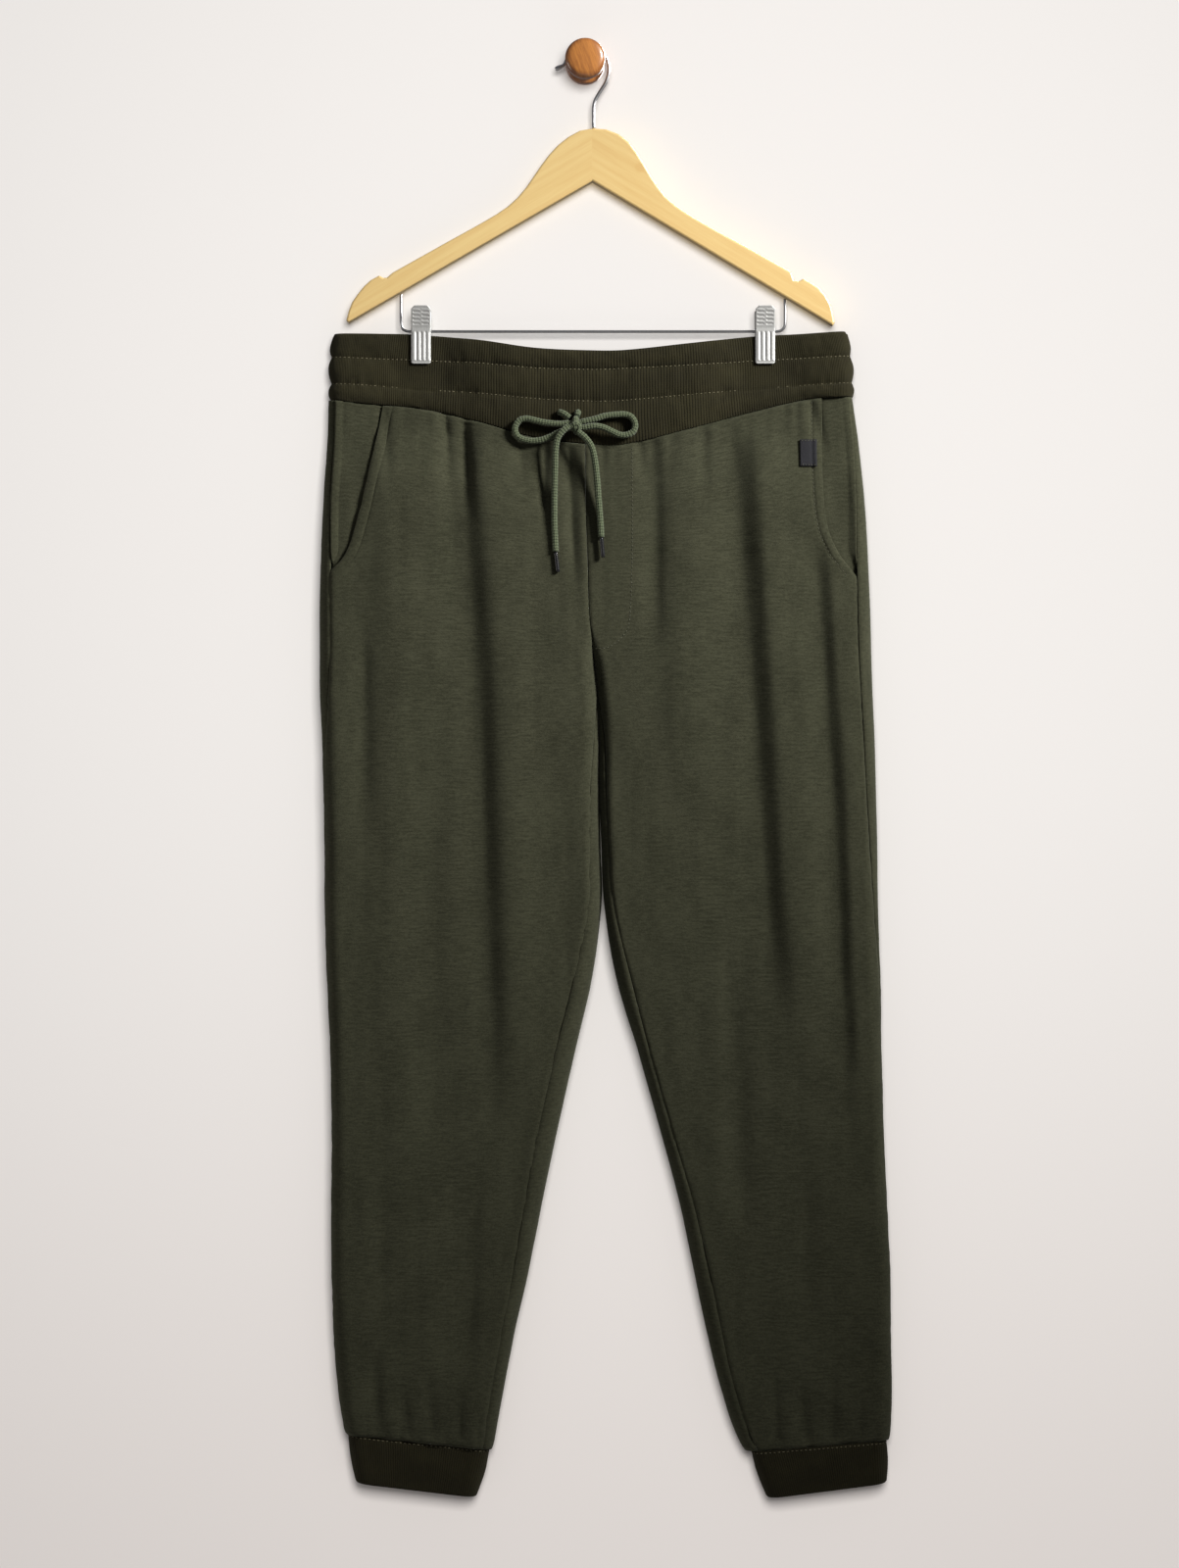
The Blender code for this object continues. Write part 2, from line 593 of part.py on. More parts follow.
def sheet(name, columns, rows, outer_at, inner_at, look):
    """A wall of cloth with four edges. outer_at and inner_at give the two faces' points at u
    across and v down, each from 0 to 1."""
    bm = bmesh.new()
    bmesh.ops.create_grid(bm, x_segments=columns, y_segments=rows, size=0.5)
    grown = bmesh.ops.extrude_face_region(bm, geom=bm.faces[:])["geom"]
    inner = {item for item in grown if isinstance(item, bmesh.types.BMVert)}
    seam_walls = [face for face in bm.faces if len({round(v.co.x, 4) for v in face.verts}) == 1]
    for edge_face in seam_walls:
        top = min((v for v in edge_face.verts if v not in inner), key=lambda v: -v.co.y)
        low = min((v for v in edge_face.verts if v in inner), key=lambda v: v.co.y)
        bmesh.utils.face_split(edge_face, top, low)  # so that both sides of a seam twist alike
    for vert in bm.verts:
        u, v = vert.co.x + 0.5, 0.5 - vert.co.y
        vert.co = inner_at(u, v) if vert in inner else outer_at(u, v)
    return finish(name, bm, look)


def band(name, columns, outer_rows, inner_rows, outer_at, inner_at, look):
    """A closed tube of cloth: a rectangle spun into a ring, then each point put in its place."""
    bm = bmesh.new()
    profile = [(2.0, i / outer_rows) for i in range(outer_rows + 1)]
    profile += [(1.0, 1 - i / inner_rows) for i in range(inner_rows + 1)]
    verts = [bm.verts.new((radius, 0.0, -v)) for radius, v in profile]
    edges = [bm.edges.new((a, b)) for a, b in zip(verts, verts[1:] + verts[:1])]
    bmesh.ops.spin(
        bm, geom=verts + edges, cent=(0, 0, 0), axis=(0, 0, 1), angle=2 * math.pi,
        steps=columns, use_merge=True,
    )
    for vert in bm.verts:
        u = math.atan2(vert.co.y, vert.co.x) / (2 * math.pi) % 1.0
        u = round(u * columns) / columns
        at = outer_at if math.hypot(vert.co.x, vert.co.y) > 1.5 else inner_at
        vert.co = at(u, -vert.co.z)
    return finish(name, bm, look)


def spline_points(points, spacing):
    """Points about one spacing apart on a smooth curve through the given ones."""
    points = [Vector(point) for point in points]
    travel = [0.0]
    for a, b in zip(points, points[1:]):
        travel.append(travel[-1] + (b - a).length)
    count = max(2, round(travel[-1] / spacing))
    made = []
    for i in range(count + 1):
        at = travel[-1] * i / count
        made.append([smooth(at, travel, list(values)) for values in zip(*points)])
    return made


def tube(name, points, diameter, look, resolution=2, radii=None):
    """A wire or cord: a poly spline with a round bevel and filled caps."""
    curve = bpy.data.curves.new(name, "CURVE")
    curve.dimensions = "3D"
    curve.bevel_depth = diameter / 2 * MM
    curve.bevel_resolution = resolution
    curve.use_fill_caps = True
    line = curve.splines.new("POLY")
    line.points.add(len(points) - 1)
    for i, point in enumerate(points):
        line.points[i].co = (point[0] * MM, point[1] * MM, point[2] * MM, 1.0)
        line.points[i].radius = radii[i] if radii else 1.0
    curve.materials.append(material(look))
    made = bpy.data.objects.new(name, curve)
    bpy.context.scene.collection.objects.link(made)
    return made


# --- the garment -------------------------------------------------------------------------------


def seam_rows(side, half):
    """Rows of a panel's upper or lower node. No seam is there: one piece of cloth runs through."""
    rows = ROWS_ABOVE + [POCKETS[side][-1].z] + ROWS_BELOW
    if half == "upper":
        return [z for z in rows if z > LEG_PARTING] + [LEG_PARTING]
    return [LEG_PARTING] + [z for z in rows if z < LEG_PARTING]


def row_height(rows, v):
    """Height at v of 0 to 1 down a panel; the ends stop short of the seams and of its other half."""
    i = min(int(v * (len(rows) - 1) + 1e-6), len(rows) - 2)
    z = mix(rows[i], rows[i + 1], v * (len(rows) - 1) - i)
    return clamp(z, rows[-1] + HALF_GAP, rows[0] - HALF_GAP)


def side_seam_p(side, z):
    a_ring = leg_ring(side, z)
    outer = section("outer_" + side, z)
    return p_at_x(a_ring, outer - SIGN[side] * max(0.0, section("side_" + side, z)))


def inseam_p(side, z):
    if z >= CROTCH:
        return 0.0
    a_ring = leg_ring(side, z)
    return p_at_x(a_ring, a_ring.inner + SIGN[side] * max(0.0, section("inseam_" + side, z)))


def pocket_p(side, z):
    """Place of the pocket's opening edge, or of the side seam below the pocket."""
    if z <= POCKETS[side][-1].z:
        return side_seam_p(side, z)
    x = smooth(z, POCKET_COLUMNS[side]["z"], POCKET_COLUMNS[side]["x"])
    return min(p_at_x(leg_ring(side, z), x), side_seam_p(side, z))


def bunched(u, amount):
    return u - amount * math.sin(2 * math.pi * u) / (2 * math.pi)


def make_front(side, half):
    rows = seam_rows(side, half)

    def place(u, v):
        z = row_height(rows, v)
        start, end = inseam_p(side, z) + HALF_GAP, pocket_p(side, z) - HALF_GAP
        return mix(start, end, bunched(u, FRONT_BUNCH)), z

    sheet(
        f"front_{side}_{half}", FRONT_COLUMNS, len(rows) - 1,
        lambda u, v: on_surface(side, *place(u, v)),
        lambda u, v: offset_point(side, *place(u, v), -CLOTH),
        "fleece",
    )


def make_back(side, half):
    rows = seam_rows(side, half)

    def place(u, v):
        z = row_height(rows, v)
        start = side_seam_p(side, z) + HALF_GAP
        end = 2 * leg_ring(side, z).total + inseam_p(side, z) - HALF_GAP
        return mix(start, end, bunched(u, BACK_BUNCH)), z

    sheet(
        f"back_{side}_{half}", BACK_COLUMNS, len(rows) - 1,
        lambda u, v: on_surface(side, *place(u, v)),
        lambda u, v: offset_point(side, *place(u, v), -CLOTH),
        "fleece",
    )


def make_facing(side):
    """The pocket's facing: under the front at its inner edge, up to the side seam outside."""
    low = POCKETS[side][-1].z
    rows = ROWS_ABOVE + [low, low - FACING_FOOT]

    def place(u, v):
        z = row_height(rows, v)
        return mix(pocket_p(side, z) - FACING_TUCK, side_seam_p(side, z) - 2 * HALF_GAP, u), z

    def lift(p, z):
        """How far the facing lies in from the garment's face."""
        shown = side_seam_p(side, z) - pocket_p(side, z)
        ramp = FACING_RAMP * ease((shown - FACING_NARROW) / (FACING_WIDE - FACING_NARROW))
        full = CLOTH + FACING_DROP
        if ramp < 0.5:
            return full
        return full * clamp((side_seam_p(side, z) - p) / ramp)

    def outer(u, v):
        p, z = place(u, v)
        return offset_point(side, p, z, -lift(p, z))

    def inner(u, v):
        p, z = place(u, v)
        return offset_point(side, p, z, -lift(p, z) - CLOTH)

    sheet("pocket_facing_" + side, 8, len(rows) - 1, outer, inner, "fleece")


def band_place(u):
    """Side and share of the way round at u: left front, left back, right back, right front. The
    share is 0 at the centre front, 1 at the side fold and 2 at the centre back."""
    quarter = min(int(u * 4), 3)
    t = u * 4 - quarter
    if quarter in (0, 2):
        t = 1 - (1 - t) ** BAND_BUNCH
    else:
        t = t**BAND_BUNCH
    share = (t, 1 + t, 2 - t, 1 - t)[quarter]
    return "L" if quarter < 2 else "R", min(share, 2 - 1e-9)


def make_waistband():
    lines = ("top", "line_1", "line_2", "seam")

    def point(u, v, inset):
        side, way = band_place(u)
        channel = min(int(v * 3 + 1e-6), 2)
        t = v * 3 - channel
        z = BAND_MIDDLE
        for _ in range(5):
            here = leg_ring(side, z)
            x, share, front = on_ring(here, way * here.total)
            above, below = (waist_line(line, x, front) for line in lines[channel : channel + 2])
            z = mix(above, below, t)
        if v > 0.999:
            z += 2 * HALF_GAP
        facing = -1 if front else 1
        middle = shaped_y(side, x, z, 0.0, front, False)
        half = abs(shaped_y(side, x, z, share, front, False) - middle)
        if inset:
            half = max(half - inset * share, 0.0)
            return Vector((x - SIGN[side] * inset * (1 - share), middle + facing * half, z))
        loosened = 1.0 if channel == 2 else ease((clip_distance(x) - FLAT_BY_CLIP) / PUFF_START)
        puff = (CHANNEL_PUFF if front else PUFF_BACK) * math.sin(math.pi * t) * loosened
        x += SIGN[side] * puff * (1 - share)
        return Vector((x, middle + facing * (half + puff * share), z))

    band(
        "waistband", 72, 9, 3,
        lambda u, v: point(u, v, 0.0), lambda u, v: point(u, v, RIB), "rib",
    )


def make_cuff(side):
    cuff = CUFFS[side]

    def point(u, v, inset):
        outer = mix(cuff.outer_top, cuff.outer_hem, v)
        inner = mix(cuff.inner_top, cuff.inner_hem, v)
        a_ring = ring(inner + SIGN[side] * inset, outer - SIGN[side] * inset, 11.0, 1.0)
        x, share, front = on_ring(a_ring, u * 2 * a_ring.total)
        t = clamp((x - outer) / (inner - outer))
        top = mix(cuff.z_outer_top, cuff.z_inner_top, t) - 2 * HALF_GAP
        z = mix(top, mix(cuff.z_outer_hem, cuff.z_inner_hem, t), v)
        middle = (CUFF_FRONT + CUFF_BACK) / 2
        half = (CUFF_BACK - CUFF_FRONT) / 2 - inset
        if inset == 0:
            half += CUFF_PUFF * math.sin(math.pi * v)
        return Vector((x, middle + (-half if front else half) * share, z))

    band(
        "cuff_" + side, 28, 4, 2,
        lambda u, v: point(u, v, 0.0), lambda u, v: point(u, v, CUFF_RIB), "rib",
    )


def make_label():
    x1, x2, z1, z2 = LABEL_BOX

    def at(u, v, out):
        x, z = mix(x1, x2, u), mix(z2, z1, v)
        row_z = z
        for _ in range(6):
            p = p_at_x(leg_ring("L", row_z), x)
            row_z += z - on_surface("L", p, row_z).z
        return offset_point("L", p, row_z, out)

    sheet(
        "label", 3, 4,
        lambda u, v: at(u, v, LABEL_LIFT + LABEL), lambda u, v: at(u, v, LABEL_LIFT), "label",
    )


def make_cord():
    for name, route in CORD_ROUTES.items():
        spacing = LOOP_SPACING if "loop" in name else TAIL_SPACING
        tube(name, spline_points(route, CORD * spacing), CORD, "cord")
    for name, route in AGLET_ROUTES.items():
        tube(name, spline_points(route, AGLET_SPACING), AGLET, "tip")
    bm = bmesh.new()
    bmesh.ops.create_uvsphere(bm, u_segments=14, v_segments=9, radius=1.0)
    bmesh.ops.scale(bm, vec=KNOT_HALF, verts=bm.verts)
    bmesh.ops.translate(bm, vec=KNOT, verts=bm.verts)
    finish("cord_knot", bm, "cord", 180.0)


# --- what holds it up --------------------------------------------------------------------------


def make_hanger_wood():
    outline = spline_points(HANGER_LEFT_END, 9) + [list(point) for point in HANGER_LEFT_NOTCH]
    outline += spline_points(HANGER_SHOULDERS, 12) + [list(point) for point in HANGER_RIGHT_NOTCH]
    outline += spline_points(HANGER_RIGHT_END, 9) + [list(point) for point in HANGER_UNDERSIDE]
    bm = bmesh.new()
    y = HANGING_PLANE - HANGER_THICK / 2
    face = bm.faces.new([bm.verts.new((x, y, z)) for x, z in outline])
    grown = bmesh.ops.extrude_face_region(bm, geom=[face])["geom"]
    verts = [item for item in grown if isinstance(item, bmesh.types.BMVert)]
    bmesh.ops.translate(bm, vec=(0, HANGER_THICK, 0), verts=verts)
    rims = [edge for edge in bm.edges if abs(edge.verts[0].co.y - edge.verts[1].co.y) < 0.01]
    bmesh.ops.bevel(bm, geom=rims, offset=1.6, segments=2, profile=0.5, affect="EDGES")
    finish("hanger_wood", bm, "maple")


def bent_wire(corners, radius):
    """Straight runs between the corners, with a round bend at each inner one."""
    points = [Vector(corners[0])]
    for before, corner, after in zip(corners, corners[1:], corners[2:]):
        corner = Vector(corner)
        start = corner + (Vector(before) - corner).normalized() * radius
        end = corner + (Vector(after) - corner).normalized() * radius
        for i in range(6):
            t = i / 5
            points.append(start * (1 - t) ** 2 + corner * 2 * t * (1 - t) + end * t * t)
    return points + [Vector(corners[-1])]


def make_wires():
    hook = [(x, HANGING_PLANE, z) for x, z in HOOK_ROUTE]
    points = spline_points(hook, WIRE * 1.6)
    radii = [1.0] * len(points)
    radii[:3] = [0.9, 1.5, 1.25]  # ball tip on the free end
    tube("hanger_hook", points, WIRE, "steel", radii=radii)
    corners = [(-168, -211.3), (-168, BAR_Z), (182.3, BAR_Z), (182.3, -215.6)]
    wire = bent_wire([(x, HANGING_PLANE, z) for x, z in corners], 8.0)
    tube("hanger_bar", wire, BAR, "steel")


def make_jaw(name, middle, facing):
    """One jaw, bent from plate: flat against the waistband, its handle leaning out above."""
    rest = PINCH + 2 * HALF_GAP
    lean = rest + HANDLE_LEAN
    profile = [
        (rest, CLIP_END), (rest, JAW_BEND), (lean, CLIP_TOP + 0.6), (lean + 1.0, CLIP_TOP),
        (lean + JAW, CLIP_TOP - 1.0), (rest + JAW, JAW_BEND - 0.6), (rest + JAW, CLIP_END + 1.6),
        (rest + JAW - 1.2, CLIP_END),
    ]
    bm = bmesh.new()
    left = middle - CLIP_WIDTH / 2
    face = bm.faces.new([bm.verts.new((left, HANGING_PLANE + facing * y, z)) for y, z in profile])
    grown = bmesh.ops.extrude_face_region(bm, geom=[face])["geom"]
    verts = [item for item in grown if isinstance(item, bmesh.types.BMVert)]
    bmesh.ops.translate(bm, vec=(CLIP_WIDTH, 0, 0), verts=verts)
    bmesh.ops.recalc_face_normals(bm, faces=bm.faces)
    ends = [edge for edge in bm.edges if abs(edge.verts[0].co.x - edge.verts[1].co.x) < 0.01]
    bmesh.ops.bevel(bm, geom=ends, offset=0.5, segments=1, profile=0.5, affect="EDGES")
    finish(name, bm, "clip")


def make_pivot(name, middle):
    """The block between the jaws, bored for the bar."""
    bore = (BAR + 4 * HALF_GAP) / 2
    half = Vector(PIVOT_HALF)
    bm = bmesh.new()
    bmesh.ops.create_cone(
        bm, segments=16, radius1=bore, radius2=bore, depth=2 * half.x, cap_ends=False
    )
    rims = [edge for edge in bm.edges if edge.is_boundary]
    grown = bmesh.ops.extrude_edge_only(bm, edges=rims)["geom"]
    for item in grown:
        if isinstance(item, bmesh.types.BMVert):
            scale = 1 / max(abs(item.co.x) / half.z, abs(item.co.y) / half.y)
            item.co.x *= scale
            item.co.y *= scale
    outer = [edge for edge in bm.edges if edge.is_boundary]
    bmesh.ops.bridge_loops(bm, edges=outer)
    for vert in bm.verts:
        lift = PIVOT_LIFT if math.hypot(vert.co.x, vert.co.y) > bore * 1.2 else 0.0
        vert.co = (middle + vert.co.z, HANGING_PLANE + vert.co.y, BAR_Z + lift + vert.co.x)
    finish(name, bm, "clip", 30.0)


def make_knob():
    bm = bmesh.new()
    verts = [bm.verts.new((radius, y, 0.0)) for radius, y in KNOB_PROFILE]
    edges = [bm.edges.new(pair) for pair in zip(verts, verts[1:])]
    bmesh.ops.spin(
        bm, geom=verts + edges, cent=(0, 0, 0), axis=(0, 1, 0), angle=2 * math.pi, steps=24,
        use_merge=True,
    )
    rims = [edge for edge in bm.edges if edge.is_boundary]
    bmesh.ops.holes_fill(bm, edges=rims)
    finish("wall_knob", bm, "brown_wood")


for old in list(bpy.data.objects):
    bpy.data.objects.remove(old, do_unlink=True)

for which in ("R", "L"):
    for half in ("upper", "lower"):
        make_front(which, half)
        make_back(which, half)
    make_facing(which)
    make_cuff(which)
    make_jaw("clip_" + which + "_front", CLIP_X[which], -1)
    make_jaw("clip_" + which + "_back", CLIP_X[which], 1)
    make_pivot("clip_" + which + "_pivot", CLIP_X[which])
make_waistband()
make_label()
make_cord()
make_hanger_wood()
make_wires()
make_knob()
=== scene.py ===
import json
import math
from collections import namedtuple

import bmesh
import bpy
import numpy as np
from mathutils import Matrix, Vector

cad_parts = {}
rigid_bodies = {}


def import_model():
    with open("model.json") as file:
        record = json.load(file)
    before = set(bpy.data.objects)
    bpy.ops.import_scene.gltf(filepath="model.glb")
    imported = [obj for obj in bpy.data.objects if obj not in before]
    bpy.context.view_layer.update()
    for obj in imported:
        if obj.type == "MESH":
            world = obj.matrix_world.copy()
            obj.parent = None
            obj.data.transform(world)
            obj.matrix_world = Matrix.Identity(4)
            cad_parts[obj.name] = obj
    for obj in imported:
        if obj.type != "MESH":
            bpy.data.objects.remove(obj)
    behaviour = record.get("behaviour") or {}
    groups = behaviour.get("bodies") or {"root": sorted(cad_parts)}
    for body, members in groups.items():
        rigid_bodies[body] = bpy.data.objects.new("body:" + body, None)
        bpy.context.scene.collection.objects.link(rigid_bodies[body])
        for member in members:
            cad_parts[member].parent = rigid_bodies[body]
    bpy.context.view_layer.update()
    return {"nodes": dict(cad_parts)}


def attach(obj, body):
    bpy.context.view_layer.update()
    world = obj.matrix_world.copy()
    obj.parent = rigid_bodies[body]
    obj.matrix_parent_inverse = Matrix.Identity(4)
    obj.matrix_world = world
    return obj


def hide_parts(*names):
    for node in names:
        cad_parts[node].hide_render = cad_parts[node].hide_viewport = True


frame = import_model()
mm = 0.001
halfTurn = math.pi
sign = {"R": -1, "L": 1}

# Camera: level, three metres in front of the garment
camera = {"x": 4.0, "y": -3014.0, "z": -658.2, "lens": 75.5}
lens = bpy.data.cameras.new("camera")
lens.sensor_fit, lens.sensor_width, lens.sensor_height = "VERTICAL", 36, 36
lens.lens = camera["lens"]
lens.clip_start, lens.clip_end = 0.1, 50
cameraObject = bpy.data.objects.new("camera", lens)
cameraObject.location = (camera["x"] * mm, camera["y"] * mm, camera["z"] * mm)
cameraObject.rotation_euler = (halfTurn / 2, 0, 0)
bpy.context.scene.collection.objects.link(cameraObject)
bpy.context.scene.camera = cameraObject


# Small helpers

def ease(value):
    t = np.clip(value, 0, 1)
    return t * t * (3 - 2 * t)


def mix(a, b, t):
    return a + (b - a) * t


def curveThrough(x, xs, ys):
    xs, ys = np.asarray(xs, float), np.asarray(ys, float)
    if xs[0] > xs[-1]:
        xs, ys = xs[::-1], ys[::-1]
    x = np.clip(x, xs[0], xs[-1])
    i = np.clip(np.searchsorted(xs, x) - 1, 0, len(xs) - 2)
    low, high = np.maximum(np.arange(len(xs)) - 1, 0), np.minimum(np.arange(len(xs)) + 1, len(xs) - 1)
    slopes = (ys[high] - ys[low]) / (xs[high] - xs[low])
    span = xs[i + 1] - xs[i]
    t = (x - xs[i]) / span
    return (
        ys[i] * (1 + 2 * t) * (1 - t) ** 2 + ys[i + 1] * t * t * (3 - 2 * t)
        + span * slopes[i] * t * (1 - t) ** 2 + span * slopes[i + 1] * t * t * (t - 1)
    )


def softNoise(x, y, seed):
    # smooth value noise from -1 to 1, one cell for each unit of x and y
    lattice = np.random.RandomState(seed).uniform(-1, 1, (256, 256))
    x, y = np.asarray(x, float) + 1000, np.asarray(y, float) + 1000
    i, j = np.floor(x).astype(int), np.floor(y).astype(int)
    s, t = ease(x - i), ease(y - j)
    i, j = i % 255, j % 255
    top = mix(lattice[i, j], lattice[i + 1, j], s)
    low = mix(lattice[i, j + 1], lattice[i + 1, j + 1], s)
    return mix(top, low, t)


def gridPiece(name, across, down, place, lay, wrapped=False, capped=False, thickness=0.0, grow=-1.0):
    # a grid laid out by place(u, v) in millimetres, with lay(u, v) as its cloth coordinates
    bm = bmesh.new()
    bmesh.ops.create_grid(bm, x_segments=across, y_segments=down, size=0.5)
    bm.verts.index_update()
    u = np.array([vert.co.x for vert in bm.verts]) + 0.5
    v = 0.5 - np.array([vert.co.y for vert in bm.verts])
    u, v = np.round(u * across) / across, np.round(v * down) / down
    points, coordinates = np.asarray(place(u, v)) * mm, np.stack(lay(u, v), -1)
    layer = bm.loops.layers.uv.new("cloth")
    for face in bm.faces:
        for loop in face.loops:
            loop[layer].uv = coordinates[loop.vert.index]
    for vert, point in zip(bm.verts, points):
        vert.co = point
    if wrapped:
        bmesh.ops.remove_doubles(bm, verts=[vert for vert in bm.verts if vert.is_boundary], dist=2e-6)
    if capped:
        bmesh.ops.holes_fill(bm, edges=[edge for edge in bm.edges if edge.is_boundary])
    if wrapped:
        bmesh.ops.recalc_face_normals(bm, faces=bm.faces)
    made = finishPiece(name, bm)
    if thickness:
        shell = made.modifiers.new("shell", "SOLIDIFY")
        shell.thickness, shell.offset, shell.use_even_offset = thickness * mm, grow, False
    return made


def finishPiece(name, bm):
    mesh = bpy.data.meshes.new(name)
    bm.to_mesh(mesh)
    bm.free()
    mesh.shade_smooth()
    made = bpy.data.objects.new(name, mesh)
    bpy.context.scene.collection.objects.link(made)
    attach(made, "root")
    return made


def travelAlong(points):
    return np.concatenate([[0], np.cumsum(np.linalg.norm(np.diff(points, axis=0), axis=1))])

def tubePoints(route, spacing):
    route = np.asarray(route, float)
    travel = travelAlong(route)
    at = np.linspace(0, travel[-1], max(3, round(travel[-1] / spacing)) + 1)
    return np.stack([curveThrough(at, travel, route[:, axis]) for axis in range(3)], -1)


def tubePiece(name, route, diameter, spacing, around=20, radii=None):
    # a tube along a smooth curve through the route, with flat ends
    line = tubePoints(route, spacing)
    travel = travelAlong(line)
    ahead = np.gradient(line, axis=0)
    ahead /= np.linalg.norm(ahead, axis=1)[:, None]
    side = np.cross(ahead[0], (0, 1, 0.01))
    sides = []
    for way in ahead:
        side = side - way * side.dot(way)
        side = side / np.linalg.norm(side)
        sides.append(side)
    sides = np.array(sides)
    ups = np.cross(ahead, sides)
    scale = np.ones(len(line)) if radii is None else np.interp(np.linspace(0, 1, len(line)), *zip(*radii))

    def place(u, v):
        i = np.round(v * (len(line) - 1)).astype(int)
        turn = 2 * halfTurn * (np.round(u * around) % around) / around
        out = sides[i] * np.cos(turn)[:, None] + ups[i] * np.sin(turn)[:, None]
        return line[i] + out * (diameter / 2 * scale[i])[:, None]

    def lay(u, v):
        return u, travel[np.round(v * (len(line) - 1)).astype(int)]

    made = gridPiece(name, around, len(line) - 1, place, lay, wrapped=True, capped=True)
    return made, line * mm, travel[-1] * mm


# Materials: a socket with arithmetic, and one method for the other nodes

class Socket:
    def __init__(self, tree, out):
        self.tree, self.out = tree, out

    def math(self, operation, *values):
        node = self.tree.nodes.new("ShaderNodeMath")
        node.operation = operation
        for i, value in enumerate(values):
            self.put(node.inputs[i], value)
        return Socket(self.tree, node.outputs[0])

    def put(self, target, value):
        if isinstance(value, Socket):
            self.tree.links.new(value.out, target)
        else:
            target.default_value = value

    def node(self, kind, settings, out=0, **sockets):
        node = self.tree.nodes.new("ShaderNode" + kind)
        for key, value in settings.items():
            setattr(node, key, value)
        for key, value in sockets.items():
            spot = int(key[1:]) if key[0] == "i" and key[1:].isdigit() else key.replace("_", " ")
            self.put(node.inputs[spot], value)
        return Socket(self.tree, node.outputs[out])

    def __add__(self, other):
        return self.math("ADD", self, other)

    def __radd__(self, other):
        return self.math("ADD", other, self)

    def __sub__(self, other):
        return self.math("SUBTRACT", self, other)

    def __rsub__(self, other):
        return self.math("SUBTRACT", other, self)

    def __mul__(self, other):
        return self.math("MULTIPLY", self, other)

    def __rmul__(self, other):
        return self.math("MULTIPLY", other, self)

    def __truediv__(self, other):
        return self.math("DIVIDE", self, other)

    def __rtruediv__(self, other):
        return self.math("DIVIDE", other, self)

    def __pow__(self, other):
        return self.math("POWER", self, other)

    def __rpow__(self, other):
        return self.math("POWER", other, self)

    def __neg__(self):
        return self.math("MULTIPLY", self, -1.0)

    def sine(self):
        return self.math("SINE", self)

    def turned(self, angle):
        return self.node("VectorRotate", {"rotation_type": "Y_AXIS"}, Vector=self, Angle=angle)

    def between(self, low, high):
        smooth = {"interpolation_type": "SMOOTHSTEP"}
        return self.node("MapRange", smooth, Value=self, From_Min=low, From_Max=high)

    def noise(self, scale, detail=3.0, roughness=0.55):
        return self.node("TexNoise", {}, Vector=self, Scale=scale, Detail=detail, Roughness=roughness)

    def scaled(self, x, y, z):
        return self.node("VectorMath", {"operation": "MULTIPLY"}, i0=self, i1=(x, y, z))

    def blend(self, a, b):
        # colour a where this is 0, b where it is 1
        return self.node("Mix", {"data_type": "RGBA"}, 2, i0=self, i6=a, i7=b)

    def part(self, which):
        return self.node("SeparateXYZ", {}, "XYZ".index(which), Vector=self)


def newMaterial(name, constants):
    made = bpy.data.materials.new(name)
    made.use_nodes = True
    tree = made.node_tree
    shader = tree.nodes["Principled BSDF"]
    for key, value in constants.items():
        shader.inputs[key].default_value = value
    start = Socket(tree, None)
    return made, start, shader


def surface(start, shader, **sockets):
    for key, value in sockets.items():
        start.put(shader.inputs[key.replace("_", " ")], value)


def bump(start, height, strength, distance):
    return start.node("Bump", {}, Height=height, Strength=strength, Distance=distance)


def clothCoordinates(start):
    return start.node("UVMap", {"uv_map": "cloth"})


def objectCoordinates(start):
    return start.node("TexCoord", {}, 3)


fleeceLook = {"dark": (0.0165, 0.017, 0.0088, 1), "light": (0.0385, 0.0392, 0.0232, 1), "sheen": 0.12}


def makeFleece(name, look):
    made, start, shader = newMaterial(name, {
        "Roughness": 0.95, "Sheen Weight": look["sheen"], "Sheen Roughness": 0.5,
        "Sheen Tint": (0.62, 0.66, 0.5, 1), "Specular IOR Level": 0.15,
    })
    cloth = clothCoordinates(start)
    streaks = cloth.scaled(0.09, 0.5, 1).noise(1.0, 4.0, 0.65)
    heather = cloth.scaled(0.45, 0.6, 1).noise(1.0, 3.0, 0.7)
    wearAndPaintedShade = cloth.scaled(0.03, 0.02, 1).noise(1.0, 3.0, 0.5)
    shade = (streaks * 0.42 + heather * 0.4 + wearAndPaintedShade * 0.18).between(0.36, 0.64)
    fuzz = cloth.noise(0.9, 4.0, 0.65) + streaks * 0.4
    surface(
        start, shader, Base_Color=shade.blend(look["dark"], look["light"]),
        Roughness=0.9 + heather * 0.1, Normal=bump(start, fuzz, 0.35, 0.0007),
    )
    return made


ribLook = {"dark": (0.0068, 0.0058, 0.002, 1), "light": (0.0178, 0.0155, 0.0058, 1), "pitch": 2.0}


